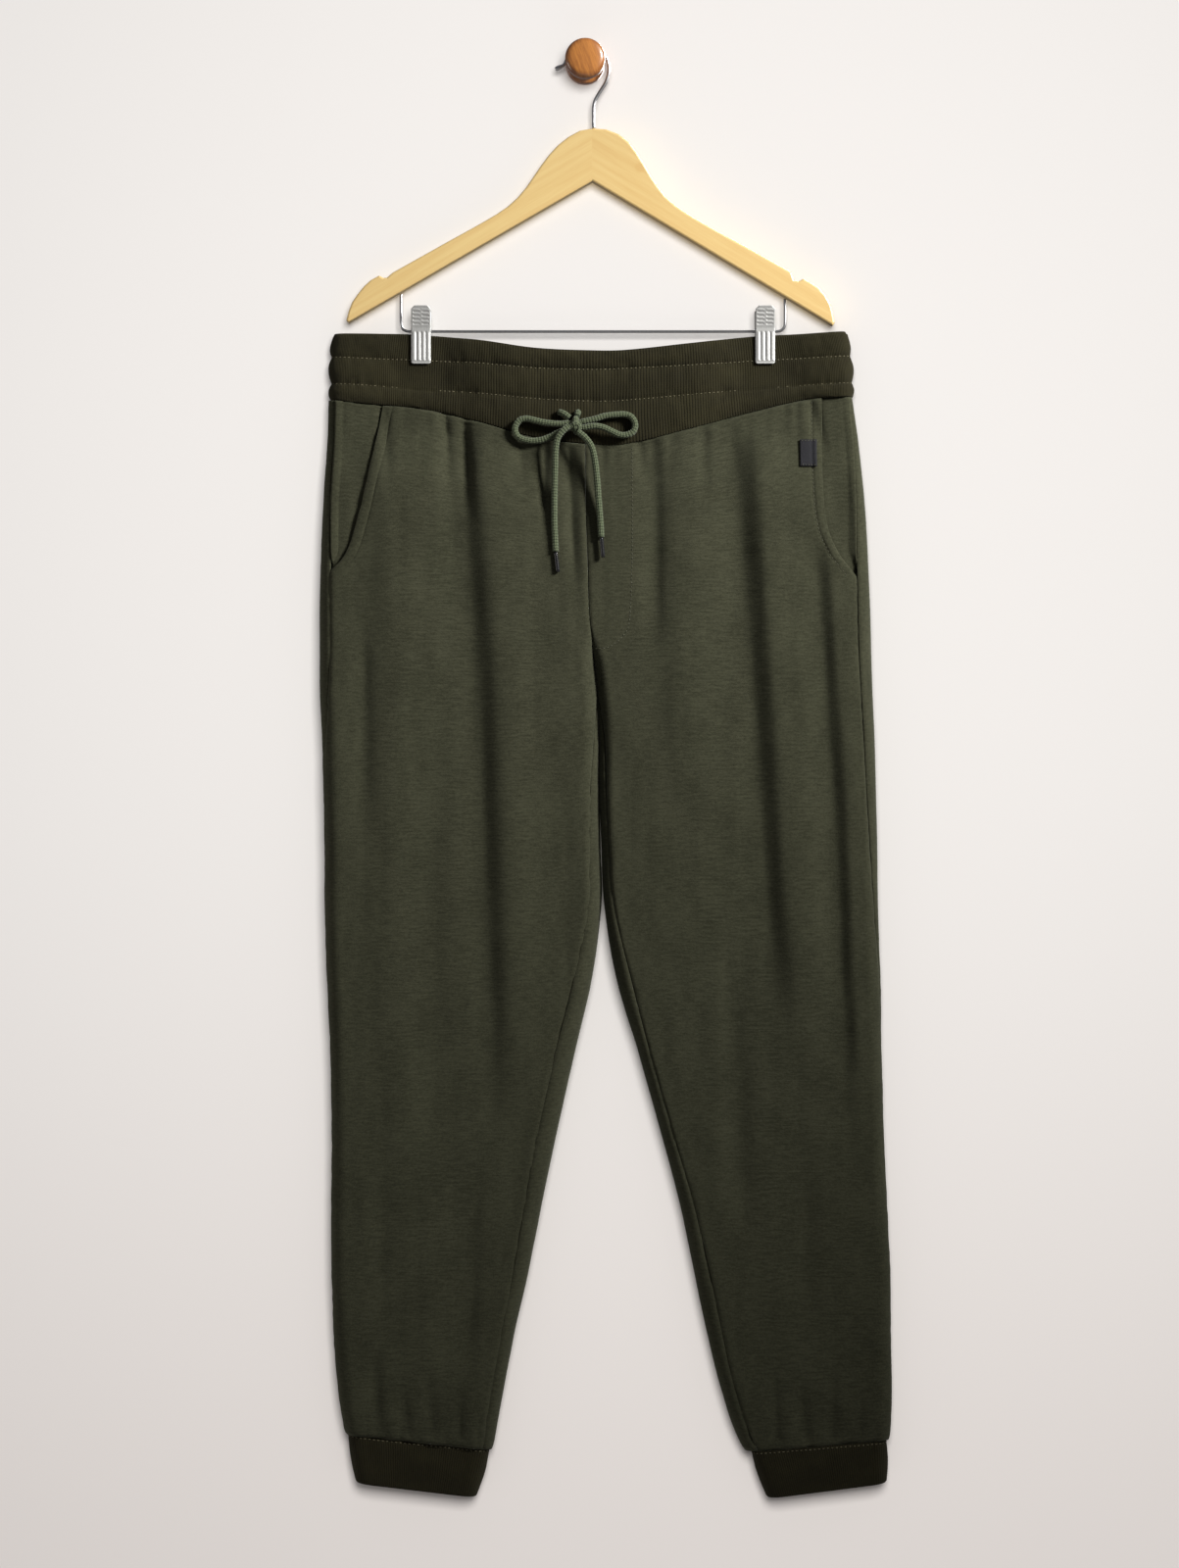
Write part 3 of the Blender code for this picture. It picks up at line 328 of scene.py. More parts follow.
def makeRib(name, look):
    made, start, shader = newMaterial(name, {
        "Roughness": 0.92, "Sheen Weight": 0.07, "Sheen Roughness": 0.5,
        "Sheen Tint": (0.6, 0.58, 0.42, 1), "Specular IOR Level": 0.15,
    })
    cloth = clothCoordinates(start)
    wander = cloth.scaled(0.05, 0.05, 1).noise(1.0, 2.0, 0.5)
    across = cloth.part("X") * (2 * halfTurn / look["pitch"]) + wander * 5.0
    rib = (across.sine() + 1.0) * 0.5
    loops = (cloth.part("Y") * (2 * halfTurn / 1.6)).sine() * 0.5 + 0.5
    heather = cloth.scaled(0.5, 0.2, 1).noise(1.0, 3.0, 0.65)
    # painted shade: broad dark blotches across the band, standing in for the shade in its diagonal valleys
    wearAndPaintedShade = cloth.scaled(0.018, 0.05, 1).noise(1.0, 3.0, 0.5)
    shade = rib.between(0.1, 0.85) * 0.5 + heather.between(0.3, 0.7) * 0.2 + wearAndPaintedShade.between(0.35, 0.65) * 0.3
    height = rib.between(0.05, 0.7) + loops * 0.12 + heather * 0.25
    surface(
        start, shader, Base_Color=shade.blend(look["dark"], look["light"]),
        Roughness=0.88 + heather * 0.1, Normal=bump(start, height, 0.6, 0.0006),
    )
    return made


cordLook = {"dark": (0.016, 0.024, 0.01, 1), "light": (0.09, 0.107, 0.06, 1), "strands": 5}


def makeCord(name, look):
    made, start, shader = newMaterial(name, {
        "Roughness": 0.85, "Sheen Weight": 0.1, "Specular IOR Level": 0.25,
    })
    cloth = clothCoordinates(start)
    around = cloth.part("X") * (2 * halfTurn * look["strands"])
    along = cloth.part("Y") * (2 * halfTurn / 5.2)
    braid = (around + along).sine() * (around - along).sine()
    lumps = braid.between(-0.8, 0.8)
    fibres = cloth.scaled(9.0, 1.2, 1).noise(1.0, 3.0, 0.6)
    shade = lumps * 0.65 + fibres.between(0.3, 0.7) * 0.35
    surface(
        start, shader, Base_Color=shade.blend(look["dark"], look["light"]),
        Roughness=0.8 + fibres * 0.15, Normal=bump(start, lumps + fibres * 0.3, 0.8, 0.0007),
    )
    return made


def makeThread(name, colour):
    made, start, shader = newMaterial(name, {"Roughness": 0.7, "Specular IOR Level": 0.3})
    twist = objectCoordinates(start).scaled(1800, 1800, 1800).noise(1.0, 2.0, 0.5)
    dull = tuple(value * 0.6 for value in colour[:3]) + (1,)
    surface(
        start, shader, Base_Color=twist.between(0.3, 0.7).blend(dull, colour),
        Normal=bump(start, twist, 0.3, 0.0002),
    )
    return made


mapleLook = {
    "pale": (0.56, 0.415, 0.183, 1), "deep": (0.49, 0.325, 0.123, 1), "joint": 6.3, "knot": (50.0, -97.0),
}


def makeMaple(name, look):
    made, start, shader = newMaterial(name, {
        "Coat Weight": 0.25, "Coat Roughness": 0.25, "Specular IOR Level": 0.4,
    })
    place = objectCoordinates(start)
    rightHalf = place.part("X").between((look["joint"] - 0.2) * mm, (look["joint"] + 0.2) * mm)
    # the grain runs along each arm, which slopes at about 31 degrees
    leftGrain = place.turned(0.54)
    rightGrain = place.turned(-0.54)
    along = rightHalf.node("Mix", {"data_type": "VECTOR"}, 1, i0=rightHalf, i4=leftGrain, i5=rightGrain)
    grain = along.scaled(9, 260, 260).noise(1.0, 5.0, 0.6)
    pores = along.scaled(60, 1500, 1500).noise(1.0, 2.0, 0.5)
    knotX, knotZ = look["knot"]
    knotPlace = place.node(
        "VectorMath", {"operation": "DISTANCE"}, 1, i0=place.scaled(1, 0, 1), i1=(knotX * mm, 0, knotZ * mm)
    )
    knot = 1.0 - knotPlace.between(0.0015, 0.006)
    tone = grain.between(0.25, 0.75) * 0.65 + pores.between(0.35, 0.65) * 0.15 + rightHalf * 0.12 + knot * 0.6
    surface(
        start, shader, Base_Color=tone.blend(look["pale"], look["deep"]),
        Roughness=0.38 + grain * 0.15, Normal=bump(start, grain + pores * 0.4, 0.12, 0.0004),
    )
    return made


knobLook = {"pale": (0.43, 0.17, 0.036, 1), "deep": (0.17, 0.052, 0.012, 1)}


def makeKnobWood(name, look):
    made, start, shader = newMaterial(name, {"Coat Weight": 0.7, "Coat Roughness": 0.12})
    place = objectCoordinates(start)
    turned = place.turned(0.35)
    grain = turned.scaled(420, 120, 40).noise(1.0, 5.0, 0.65)
    pores = turned.scaled(1900, 400, 160).noise(1.0, 2.0, 0.5)
    fromAxis = place.node("VectorMath", {"operation": "LENGTH"}, 1, i0=place.scaled(1, 0, 1))
    edge = fromAxis.between(0.0125, 0.0175)
    tone = grain.between(0.3, 0.72) * 0.7 + pores.between(0.5, 0.7) * 0.2 + edge * 0.35
    surface(
        start, shader, Base_Color=tone.blend(look["pale"], look["deep"]),
        Roughness=0.3 + grain * 0.15, Normal=bump(start, grain, 0.15, 0.0003),
    )
    return made


def makeMetal(name, colour, roughness, metallic):
    made, start, shader = newMaterial(name, {"Metallic": metallic})
    place = objectCoordinates(start)
    marks = place.scaled(900, 900, 160).noise(1.0, 3.0, 0.6)
    dull = tuple(value * 0.78 for value in colour[:3]) + (1,)
    surface(
        start, shader, Base_Color=marks.between(0.3, 0.75).blend(colour, dull),
        Roughness=roughness + marks * 0.14, Normal=bump(start, marks, 0.08, 0.0002),
    )
    return made


def makeTip(name):
    made, start, shader = newMaterial(name, {
        "Coat Weight": 0.25, "Coat Roughness": 0.08, "Specular IOR Level": 0.3,
    })
    marks = objectCoordinates(start).scaled(300, 300, 900).noise(1.0, 2.0, 0.5)
    surface(
        start, shader, Base_Color=marks.blend((0.004, 0.004, 0.005, 1), (0.012, 0.012, 0.013, 1)),
        Roughness=0.16 + marks * 0.12,
    )
    return made


def makeLabelCloth(name):
    made, start, shader = newMaterial(name, {"Roughness": 0.8, "Specular IOR Level": 0.3})
    cloth = clothCoordinates(start)
    weave = (cloth.part("X") * (2 * halfTurn / 0.5)).sine() * (cloth.part("Y") * (2 * halfTurn / 0.5)).sine()
    wearAndPaintedShade = cloth.noise(0.3, 3.0, 0.6)
    shade = weave * 0.3 + wearAndPaintedShade * 0.7
    surface(
        start, shader, Base_Color=shade.blend((0.004, 0.004, 0.006, 1), (0.011, 0.011, 0.015, 1)),
        Roughness=0.75 + wearAndPaintedShade * 0.15, Normal=bump(start, weave, 0.4, 0.0002),
    )
    return made


fleece = makeFleece("fleece", fleeceLook)
rib = makeRib("rib", ribLook)
cordCloth = makeCord("cord", cordLook)
paleThread = makeThread("pale_thread", (0.14, 0.125, 0.075, 1))
selfThread = makeThread("self_thread", (0.07, 0.07, 0.045, 1))
maple = makeMaple("maple", mapleLook)
knobWood = makeKnobWood("knob_wood", knobLook)
steel = makeMetal("steel", (0.52, 0.52, 0.53, 1), 0.24, 1.0)
clipMetal = makeMetal("clip_metal", (0.44, 0.44, 0.43, 1), 0.44, 0.6)
tip = makeTip("tip")
labelCloth = makeLabelCloth("label_cloth")
print("materials made")


def dress(piece, material, slot, *nodes):
    piece.data.materials.append(material)
    if nodes:
        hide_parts(*nodes)


# Drawcord: the routes of the CAD, millimetres
cordSize = {"cord": 5.8, "aglet": 3.8, "spacing": 1.2}
cordRoutes = {
    "cord_entry_R": [
        (-23.5, -32.1, -321.0), (-20.0, -34.4, -322.2), (-16.4, -35.2, -324.6), (-14.3, -35.5, -326.5),
    ],
    "cord_entry_L": [
        (-6.4, -31.1, -321.0), (-6.8, -33.3, -322.0), (-7.4, -35.6, -325.0),
    ],
    "cord_loop_R": [
        (-14.6, -36.5, -331.3), (-22.8, -36.0, -332.1), (-36.4, -35.2, -330.8), (-45.4, -34.6, -328.7),
        (-53.3, -34.0, -327.1), (-59.9, -33.8, -328.9), (-63.7, -33.8, -336.3), (-60.5, -33.8, -343.6),
        (-51.1, -33.9, -347.0), (-40.9, -34.2, -346.7), (-31.8, -34.7, -343.7), (-25.0, -35.2, -340.2),
        (-14.4, -35.6, -335.3),
    ],
    "cord_loop_L": [
        (-3.1, -36.7, -330.3), (8.9, -36.2, -327.6), (18.0, -35.4, -324.8), (27.1, -34.6, -323.6),
        (36.2, -34.0, -323.3), (41.9, -33.8, -325.5), (45.3, -33.9, -331.8), (43.7, -34.0, -338.5),
        (38.0, -34.4, -341.7), (31.3, -35.0, -341.8), (24.8, -36.2, -339.1), (17.3, -37.6, -335.7),
        (8.9, -38.4, -334.2), (-2.4, -38.1, -335.8),
    ],
    "cord_tail_R": [
        (-14.6, -41.4, -334.2), (-20.4, -42.4, -339.2), (-24.9, -42.2, -345.9), (-26.6, -41.4, -354.9),
        (-27.2, -40.8, -371.8), (-27.6, -40.8, -389.9), (-27.8, -41.0, -405.7), (-27.8, -41.2, -422.7),
        (-27.2, -41.6, -437.4), (-26.6, -42.0, -448.2),
    ],
    "cord_tail_L": [
        (-6.8, -41.9, -339.5), (0.0, -42.6, -345.1), (5.5, -42.0, -352.7), (8.4, -41.4, -363.0),
        (10.7, -41.0, -381.3), (12.1, -41.0, -400.1), (13.5, -41.2, -417.0), (14.6, -41.8, -434.8),
    ],
}
agletRoutes = {
    "aglet_R": [(-26.6, -42.0, -448.7), (-25.5, -42.3, -457.7), (-24.4, -42.6, -466.7)],
    "aglet_L": [(14.7, -41.8, -435.3), (15.5, -41.9, -444.4), (16.3, -42.1, -453.4)],
}
agletShape = [(0, 0.94), (0.1, 1), (0.94, 1), (1, 0.8)]
# The knot: strands that cross behind one turn of the cord over its front
knotStrands = [
    [(-14.0, -36.4, -331.6), (-8.6, -37.2, -331.4), (-3.4, -36.6, -330.5)],
    [(-13.8, -35.8, -335.6), (-8.6, -36.6, -336.2), (-3.2, -37.8, -335.8)],
    [(-8.0, -33.6, -327.2), (-8.6, -36.8, -327.4), (-8.9, -39.2, -329.6), (-8.9, -40.0, -332.8),
     (-8.6, -39.4, -336.4), (-8.0, -37.2, -338.8), (-7.8, -34.0, -339.2)],
    [(-13.6, -38.2, -335.6), (-11.0, -39.8, -333.6), (-8.4, -40.4, -332.4), (-5.6, -40.2, -334.2),
     (-5.4, -39.8, -337.8)],
]


def makeCords():
    made = {}
    for name, route in agletRoutes.items():
        made[name] = tubePiece(name, route, cordSize["aglet"], cordSize["spacing"], 16, agletShape)[0]
        dress(made[name], tip, "tip", name)
    for name, route in cordRoutes.items():
        piece, line, length = tubePiece(name, route, cordSize["cord"], cordSize["spacing"])
        dress(piece, cordCloth, "cord", name)
        made[name] = piece
        if "entry" in name:
            continue
        side = name[-1]
        if "loop" in name:
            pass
        else:
            withPieces = [made["aglet_" + side], made["cord_entry_" + side]]
    bm = bmesh.new()
    for strand in knotStrands:
        part = tubePiece("strand", strand, cordSize["cord"] * 0.96, cordSize["spacing"], 18)[0]
        bm.from_mesh(part.data)
        bpy.data.objects.remove(part)
    dress(finishPiece("cord_knot", bm), cordCloth, "cord", "cord_knot")


makeCords()
print("cords laid")


# The garment's form, in millimetres: flattened rings at every height, as in the CAD
cloth, ribThick, cuffThick, halfGap = 2.2, 4.0, 3.2, 0.15
hangingPlane, backPlane, edgeRound = -14.0, -4.0, 13.0
crotch, crotchCurveTop, waistSide, legEnd = -573.0, -512.0, -309.0, -1257.0
seamCurveEnd, cuffCurveStart = -470.0, -1160.0
clipX = {"R": -149.4, "L": 164.0}
clipEnd, pinch, flatByClip, clipSpread = -275.5, 4.4, 18.0, 32.0
topBow, sideBow, seamHalf, seamBow, backLimit, waistBlend = 8.0, 4.0, 9.0, 5.0, 9.0, 70.0

Section = namedtuple("Section", "z outer_R inner_R inner_L outer_L front side_R side_L inseam_R inseam_L")
sections = [
    Section(-246, -229, 0, 0, 238, -24, 4, 3, 0, 0),
    Section(-276, -232, 0, 0, 243, -26, 4, 3, 0, 0),
    Section(-309, -232, 0, 0, 244, -28, 4.5, 3, 0, 0),
    Section(-349, -233, 0, 0, 249, -32, 5, 5, 0, 0),
    Section(-400, -236, 0.5, 0.5, 254, -36, 5.5, 8, 0, 0),
    Section(-452, -238, 2, 2, 257, -38, 7.5, 11, 0, 0),
    Section(-497, -239, 3, 3, 259, -39, 9, 12.5, 0, 0),
    Section(-538, -239, 6, 6, 260, -40, 9.5, 12.5, 0, 0),
    Section(-573, -239, 10, 10, 261, -40, 8, 11.5, 0, 0),
    Section(-614, -237, 10.5, 13, 263, -40, 3.5, 11, 3, 3),
    Section(-658, -236, 10.5, 13, 264, -40, 0.5, 9.5, 6, 5),
    Section(-712, -235, 11.5, 15, 265, -40, 0, 7, 8, 6),
    Section(-768, -235, 12.5, 17.5, 266, -39, 0, 4, 10, 8),
    Section(-837, -233, 3.5, 29, 269, -38, 0, 1.5, 14, 13),
    Section(-904, -230, -12, 49, 270, -37, 0, 0, 15.5, 10),
    Section(-971, -229, -27, 68, 272, -36, 0, 0, 15.5, 10),
    Section(-1038, -229, -41, 85, 275, -35, 0, 0, 13, 13),
    Section(-1104, -229, -54, 99, 278, -34, 0, 0, 11.5, 14.5),
    Section(-1182, -226, -71, 117, 279, -32, 0, 0, 10, 13),
    Section(-1227, -222, -80, 131, 279, -31, 0, 0, 9, 12.5),
    Section(-1257, -217, -86, 144, 277, -28, 0, 0, 7, 12.5),
]
Waist = namedtuple("Waist", "x top line_1 line_2 seam")
waistLines = [
    Waist(-232, -248, -269.5, -294, -309),
    Waist(-190, -248, -271, -296, -313.5),
    Waist(-158, -248.5, -272, -298.5, -316),
    Waist(-101, -253.5, -275, -302.5, -328),
    Waist(-46, -261.5, -280, -308, -343.5),
    Waist(10, -264, -281.5, -310.5, -350),
    Waist(37, -263.5, -280.5, -309.5, -349.5),
    Waist(93, -257.5, -277.5, -304.5, -336),
    Waist(152, -250.5, -273, -299, -320),
    Waist(200, -248, -270.5, -295.5, -309),
    Waist(241, -245.5, -268.5, -293.5, -306),
]
backLines = {"top": 0.0, "line_1": -21.5, "line_2": -46.0, "seam": -61.0}

# Folds, as in the CAD: x at the start, middle and end, z at the start and end, half widths to the
# left and right, depth (a trough is positive, a ridge negative) and how far each end fades
Fold = namedtuple("Fold", "x1 x2 x3 z1 z2 left right depth fade1 fade2")
foldsR = [
    Fold(-118, -93, -86, -326, -1010, 22, 12, 4.0, 18, 200),
    Fold(-94, -72, -66, -330, -1000, 14, 30, -5.0, 50, 220),
    Fold(-178, -175, -178, -330, -1150, 18, 30, -3.0, 60, 200),
    Fold(-109, -106, -103, -322, -430, 7, 5, 4.5, 10, 70),
    Fold(-127, -124, -120, -318, -420, 5.5, 5.5, 2.5, 8, 70),
    Fold(-182, -180, -178, -311, -400, 6, 5, 3.0, 8, 60),
    Fold(-37, -37, -36, -342, -440, 5.5, 5.5, 3.5, 8, 60),
    Fold(-15, -12, -8, -346, -500, 6, 6, 4.0, 10, 70),
    Fold(-58, -58, -58, -338, -390, 5, 5, 2.0, 8, 35),
    Fold(-200, -199, -198, -500, -730, 12, 8, 2.5, 60, 90),
    Fold(-136, -137, -130, -480, -1100, 26, 22, 2.5, 120, 200),
    Fold(-178, -182, -184, -840, -1180, 12, 12, 2.0, 120, 120),
    Fold(-102, -103, -108, -980, -1215, 18, 9, 3.0, 90, 60),
    Fold(-190, -188, -187, -1165, -1256, 8, 6, 2.5, 45, 10),
    Fold(-164, -163, -160, -1195, -1256, 7, 5, 2.5, 35, 8),
    Fold(-140, -139, -138, -1180, -1256, 7, 6, 2.5, 45, 8),
    Fold(-112, -113, -114, -1200, -1256, 7, 5, 2.0, 35, 8),
]
foldsL = [
    Fold(131, 153, 178, -322, -930, 30, 12, 4.5, 60, 180),
    Fold(156, 176, 197, -326, -950, 12, 28, -5.5, 40, 180),
    Fold(205, 226, 238, -420, -1020, 14, 7, 2.5, 50, 160),
    Fold(219, 240, 251, -420, -1020, 7, 16, -3.0, 50, 160),
    Fold(63, 64, 64, -340, -560, 12, 6, 3.0, 10, 90),
    Fold(84, 84, 88, -340, -720, 12, 42, -2.5, 40, 140),
    Fold(134, 135, 137, -326, -390, 6, 5, 1.0, 8, 45),
    Fold(50, 53, 56, -344, -400, 5, 5, 2.0, 8, 40),
    Fold(110, 108, 107, -332, -420, 6, 6, 2.0, 10, 60),
    Fold(207, 211, 222, -306, -366, 7, 5, 3.0, 8, 40),
    Fold(128, 136, 150, -760, -1120, 16, 12, 2.5, 120, 140),
    Fold(196, 200, 204, -960, -1190, 20, 12, 3.0, 110, 80),
    Fold(170, 172, 176, -1170, -1262, 8, 6, 2.5, 45, 10),
    Fold(196, 198, 200, -1195, -1260, 7, 5, 2.5, 35, 8),
    Fold(224, 224, 225, -1180, -1258, 7, 6, 2.5, 45, 8),
    Fold(250, 250, 250, -1200, -1256, 7, 5, 2.0, 35, 8),
]
foldsBack = [
    Fold(-176, -172, -168, -312, -640, 12, 12, 4.0, 20, 170),
    Fold(-118, -112, -108, -320, -560, 10, 10, 3.5, 16, 130),
    Fold(-62, -60, -66, -324, -760, 12, 12, 4.5, 18, 200),
    Fold(-20, -18, -16, -326, -450, 8, 8, 3.0, 12, 80),
    Fold(46, 44, 42, -326, -520, 9, 9, 3.5, 14, 110),
    Fold(98, 104, 116, -322, -820, 12, 12, 4.5, 18, 220),
    Fold(150, 152, 156, -316, -520, 9, 9, 3.5, 14, 110),
    Fold(202, 206, 210, -310, -690, 11, 11, 4.0, 18, 180),
    Fold(-150, -158, -160, -780, -1200, 14, 14, 3.5, 140, 90),
    Fold(190, 200, 206, -860, -1210, 14, 14, 3.5, 140, 90),
    Fold(-136, -136, -136, -1190, -1256, 7, 7, 2.5, 40, 8),
    Fold(-178, -177, -176, -1180, -1256, 7, 7, 2.5, 45, 8),
    Fold(182, 184, 186, -1190, -1260, 7, 7, 2.5, 40, 8),
    Fold(232, 232, 232, -1180, -1258, 7, 7, 2.5, 45, 8),
]
pockets = {
    "R": [(-309, -184), (-349, -191), (-383, -198), (-414, -205), (-450, -216.5), (-467, -230.5)],
    "L": [(-306, 215), (-383, 215.5), (-426, 220), (-450, 230), (-464, 241), (-471, 246.4)],
}
Cuff = namedtuple("Cuff", "outerTop zOuterTop innerTop zInnerTop outerHem zOuterHem innerHem zInnerHem")
cuffs = {
    "R": Cuff(-215.5, -1249, -87, -1263, -208.5, -1294, -99, -1307),
    "L": Cuff(274, -1255, 151.5, -1265, 274.5, -1294, 166, -1308),
}

sectionColumns = {name: [getattr(row, name) for row in sections] for name in Section._fields}
waistColumns = {name: [getattr(row, name) for row in waistLines] for name in Waist._fields}


def section(name, z):
    return curveThrough(z, sectionColumns["z"], sectionColumns[name])


def waistLine(name, x, front):
    ahead = curveThrough(x, waistColumns["x"], waistColumns[name])
    behind = curveThrough(x, waistColumns["x"], waistColumns["top"]) + backLines[name]
    return np.where(front, ahead, behind)


def cuffSeam(side, x):
    cuff = cuffs[side]
    t = np.clip((x - cuff.outerTop) / (cuff.innerTop - cuff.outerTop), 0, 1)
    return mix(cuff.zOuterTop, cuff.zInnerTop, t)


Ring = namedtuple("Ring", "inner sign width start bendIn bendOut total")


def ringOf(inner, outer, halfDepth, closing):
    start = np.arcsin(1 - closing)
    bend = halfTurn / 2 * np.sqrt((edgeRound**2 + halfDepth**2) / 2)
    bendIn = bend * (1 - start / (halfTurn / 2))
    width = np.abs(outer - inner)
    total = bendIn + width - edgeRound - edgeRound * np.cos(start) + bend
    return Ring(inner, np.sign(outer - inner), width, start, bendIn, bend, total)


def legRing(side, z):
    closing = ease((crotchCurveTop - z) / (crotchCurveTop - crotch))
    halfDepth = (backPlane - section("front", z)) / 2
    inner = section("inner_" + side, z) + sign[side] * halfGap
    return ringOf(inner, section("outer_" + side, z), halfDepth, closing)


def onRing(ring, p):
    p = np.mod(p, 2 * ring.total)
    front = p <= ring.total
    q = np.where(front, p, 2 * ring.total - p)
    angleIn = mix(ring.start, halfTurn / 2, q / np.maximum(ring.bendIn, 1e-9))
    angleOut = halfTurn / 2 * (ring.total - q) / ring.bendOut
    atIn, atOut = q < ring.bendIn, q > ring.total - ring.bendOut
    across = edgeRound * np.cos(ring.start) + q - ring.bendIn
    across = np.where(atOut, ring.width - edgeRound * (1 - np.cos(angleOut)), across)
    across = np.where(atIn, edgeRound * (np.cos(ring.start) - np.cos(angleIn)), across)
    share = np.where(atIn, np.sin(angleIn), np.where(atOut, np.sin(angleOut), 1.0))
    return ring.inner + ring.sign * across, share, front


def pAtX(ring, x):
    across = np.clip(ring.sign * (x - ring.inner), 0, ring.width)
    bendWidth = edgeRound * np.cos(ring.start)
    outAngle = np.arccos(np.clip(1 - (ring.width - across) / edgeRound, -1, 1))
    inAngle = np.arccos(np.clip(np.cos(ring.start) - across / edgeRound, -1, 1))
    atOut = ring.total - ring.bendOut * outAngle / (halfTurn / 2)
    atIn = ring.bendIn * (inAngle - ring.start) / np.maximum(halfTurn / 2 - ring.start, 1e-9)
    flat = ring.bendIn + across - bendWidth
    return np.where(across > ring.width - edgeRound, atOut, np.where(across < bendWidth, atIn, flat))


def clipDistance(x):
    return np.minimum(np.abs(x - clipX["R"]), np.abs(x - clipX["L"]))


def waistHalfDepth(x, z, front):
    top, seam = waistLine("top", x, front), waistLine("seam", x, front)
    opened = 1 - np.exp(-((np.maximum(0, clipDistance(x) - flatByClip) / clipSpread) ** 2))
    bow = np.where((x > clipX["R"]) & (x < clipX["L"]), topBow, sideBow)
    start = mix(clipEnd - 3, top, opened)
    down = ease((start - z) / (start - seam))
    depth = mix(pinch + bow * opened, seamHalf + seamBow * opened, down)
    return np.where(front, depth, np.minimum(depth, backLimit))


def foldDepth(folds, x, z):
    total = np.zeros_like(x)
    for fold in folds:
        t = np.clip((fold.z1 - z) / (fold.z1 - fold.z2), 0, 1)
        middle = fold.x1 * (1 - t) * (1 - 2 * t) + fold.x2 * 4 * t * (1 - t) + fold.x3 * t * (2 * t - 1)
        ends = ease((fold.z1 - z) / fold.fade1) * ease((z - fold.z2) / fold.fade2)
        width = np.where(x < middle, fold.left, fold.right)
        total += fold.depth * ends * np.exp(-(((x - middle) / width) ** 2))
    return total


def depthAt(side, x, z, front, folded=True):
    half = waistHalfDepth(x, z, front)
    waistY = hangingPlane + np.where(front, -half, half)
    bodyY = np.where(front, section("front", z), backPlane)
    y = mix(waistY, bodyY, ease((waistLine("seam", x, front) - z) / waistBlend))
    if folded:
        ahead = foldDepth(foldsR if side == "R" else foldsL, x, z)
        y = y + np.where(front, ahead, -foldDepth(foldsBack, x, z))
    return y


def shapedY(side, x, z, share, front, folded=True):
    middle = (depthAt(side, x, z, True, False) + depthAt(side, x, z, False, False)) / 2
    return mix(middle, depthAt(side, x, z, front, folded), share)


def onSurface(side, p, rowZ):
    x, share, front = onRing(legRing(side, rowZ), p)
    above = np.clip((rowZ - seamCurveEnd) / (waistSide - seamCurveEnd), 0, None)
    below = np.clip((cuffCurveStart - rowZ) / (cuffCurveStart - legEnd), 0, None)
    z = rowZ + (waistLine("seam", x, front) - waistSide) * above + (cuffSeam(side, x) - legEnd) * below
    return np.stack([x, shapedY(side, x, z, share, front), z], -1)


def sideSeamP(side, z):
    ring = legRing(side, z)
    return pAtX(ring, section("outer_" + side, z) - sign[side] * np.maximum(0, section("side_" + side, z)))


def inseamP(side, z):
    ring = legRing(side, z)
    below = pAtX(ring, ring.inner + sign[side] * np.maximum(0, section("inseam_" + side, z)))
    return np.where(z >= crotch, 0.0, below)


def pocketP(side, z):
    zs, xs = zip(*pockets[side])
    edge = np.minimum(pAtX(legRing(side, z), curveThrough(z, zs, xs)), sideSeamP(side, z))
    return np.where(z <= zs[-1], sideSeamP(side, z), edge)


def normalsOf(side, p, rowZ):
    # outward normals of the garment's face, level by the waist and cuff seams
    step = 0.6
    total = legRing(side, rowZ).total
    before, after = p - step, p + step
    before = np.where(rowZ > crotch, np.maximum(before, 0.0), before)
    after = np.where(rowZ > crotch, np.minimum(after, 2 * total - 1e-6), after)
    along = onSurface(side, after, rowZ) - onSurface(side, before, rowZ)
    way = p / total
    lower, upper = (onSurface(side, way * legRing(side, z).total, z) for z in (rowZ - step, rowZ + step))
    normal = np.cross(along, lower - upper) * -sign[side]
    normal[:, 2] *= ease(np.minimum(waistSide - rowZ, rowZ - legEnd) / 14.0)
    return normal / np.linalg.norm(normal, axis=1)[:, None]


# Fleece panels: the CAD's form with the finer creases, gathers and sewn edges

relief = {"streaks": 0.7, "ripples": 0.3, "waistGathers": 1.1, "cuffGathers": 1.3, "pucker": 0.4, "seamDip": 1.0}
panelGrid = {"across": 110, "down": 300, "edgeBunch": 0.55}
pocketHem = 9.0


def clothRelief(side, points, front, seamStart, seamEnd, seed, hemmed):
    x, z = points[:, 0], points[:, 2]
    edge = np.minimum(seamStart, seamEnd)
    out = relief["streaks"] * softNoise(x / 20, z / 150, seed)
    out += relief["ripples"] * softNoise(x / 8, z / 55, seed + 1)
    fromWaist = np.maximum(waistLine("seam", x, front) - z, 0)
    fromCuff = np.maximum(z - cuffSeam(side, x), 0)
    out += relief["waistGathers"] * np.exp(-fromWaist / 30) * softNoise(x / 5.5, z / 90, seed + 2)
    out += relief["cuffGathers"] * np.exp(-fromCuff / 32) * softNoise(x / 6.0, z / 80, seed + 3)
    out -= 1.2 * np.exp(-((fromWaist / 3) ** 2)) + 1.0 * np.exp(-((fromCuff / 3) ** 2))
    out += relief["pucker"] * np.exp(-edge / 8) * softNoise(z / 7, x / 60, seed + 4)
    out -= relief["seamDip"] * np.exp(-((edge / 1.8) ** 2))
    if hemmed is not None:
        # the pocket's folded edge, sewn down at its hem
        onHem = hemmed * ease(seamEnd / 1.5)
        sewn = np.exp(-(((seamEnd - pocketHem) / 1.2) ** 2))
        out += hemmed * (0.45 * ease(1 - (seamEnd - pocketHem + 3) / 3) - 0.5 * sewn)
        out += onHem * 0.25 * softNoise(z / 9, x / 40, seed + 5)
    return out * ease((fromWaist + 0.5) / 1.5)


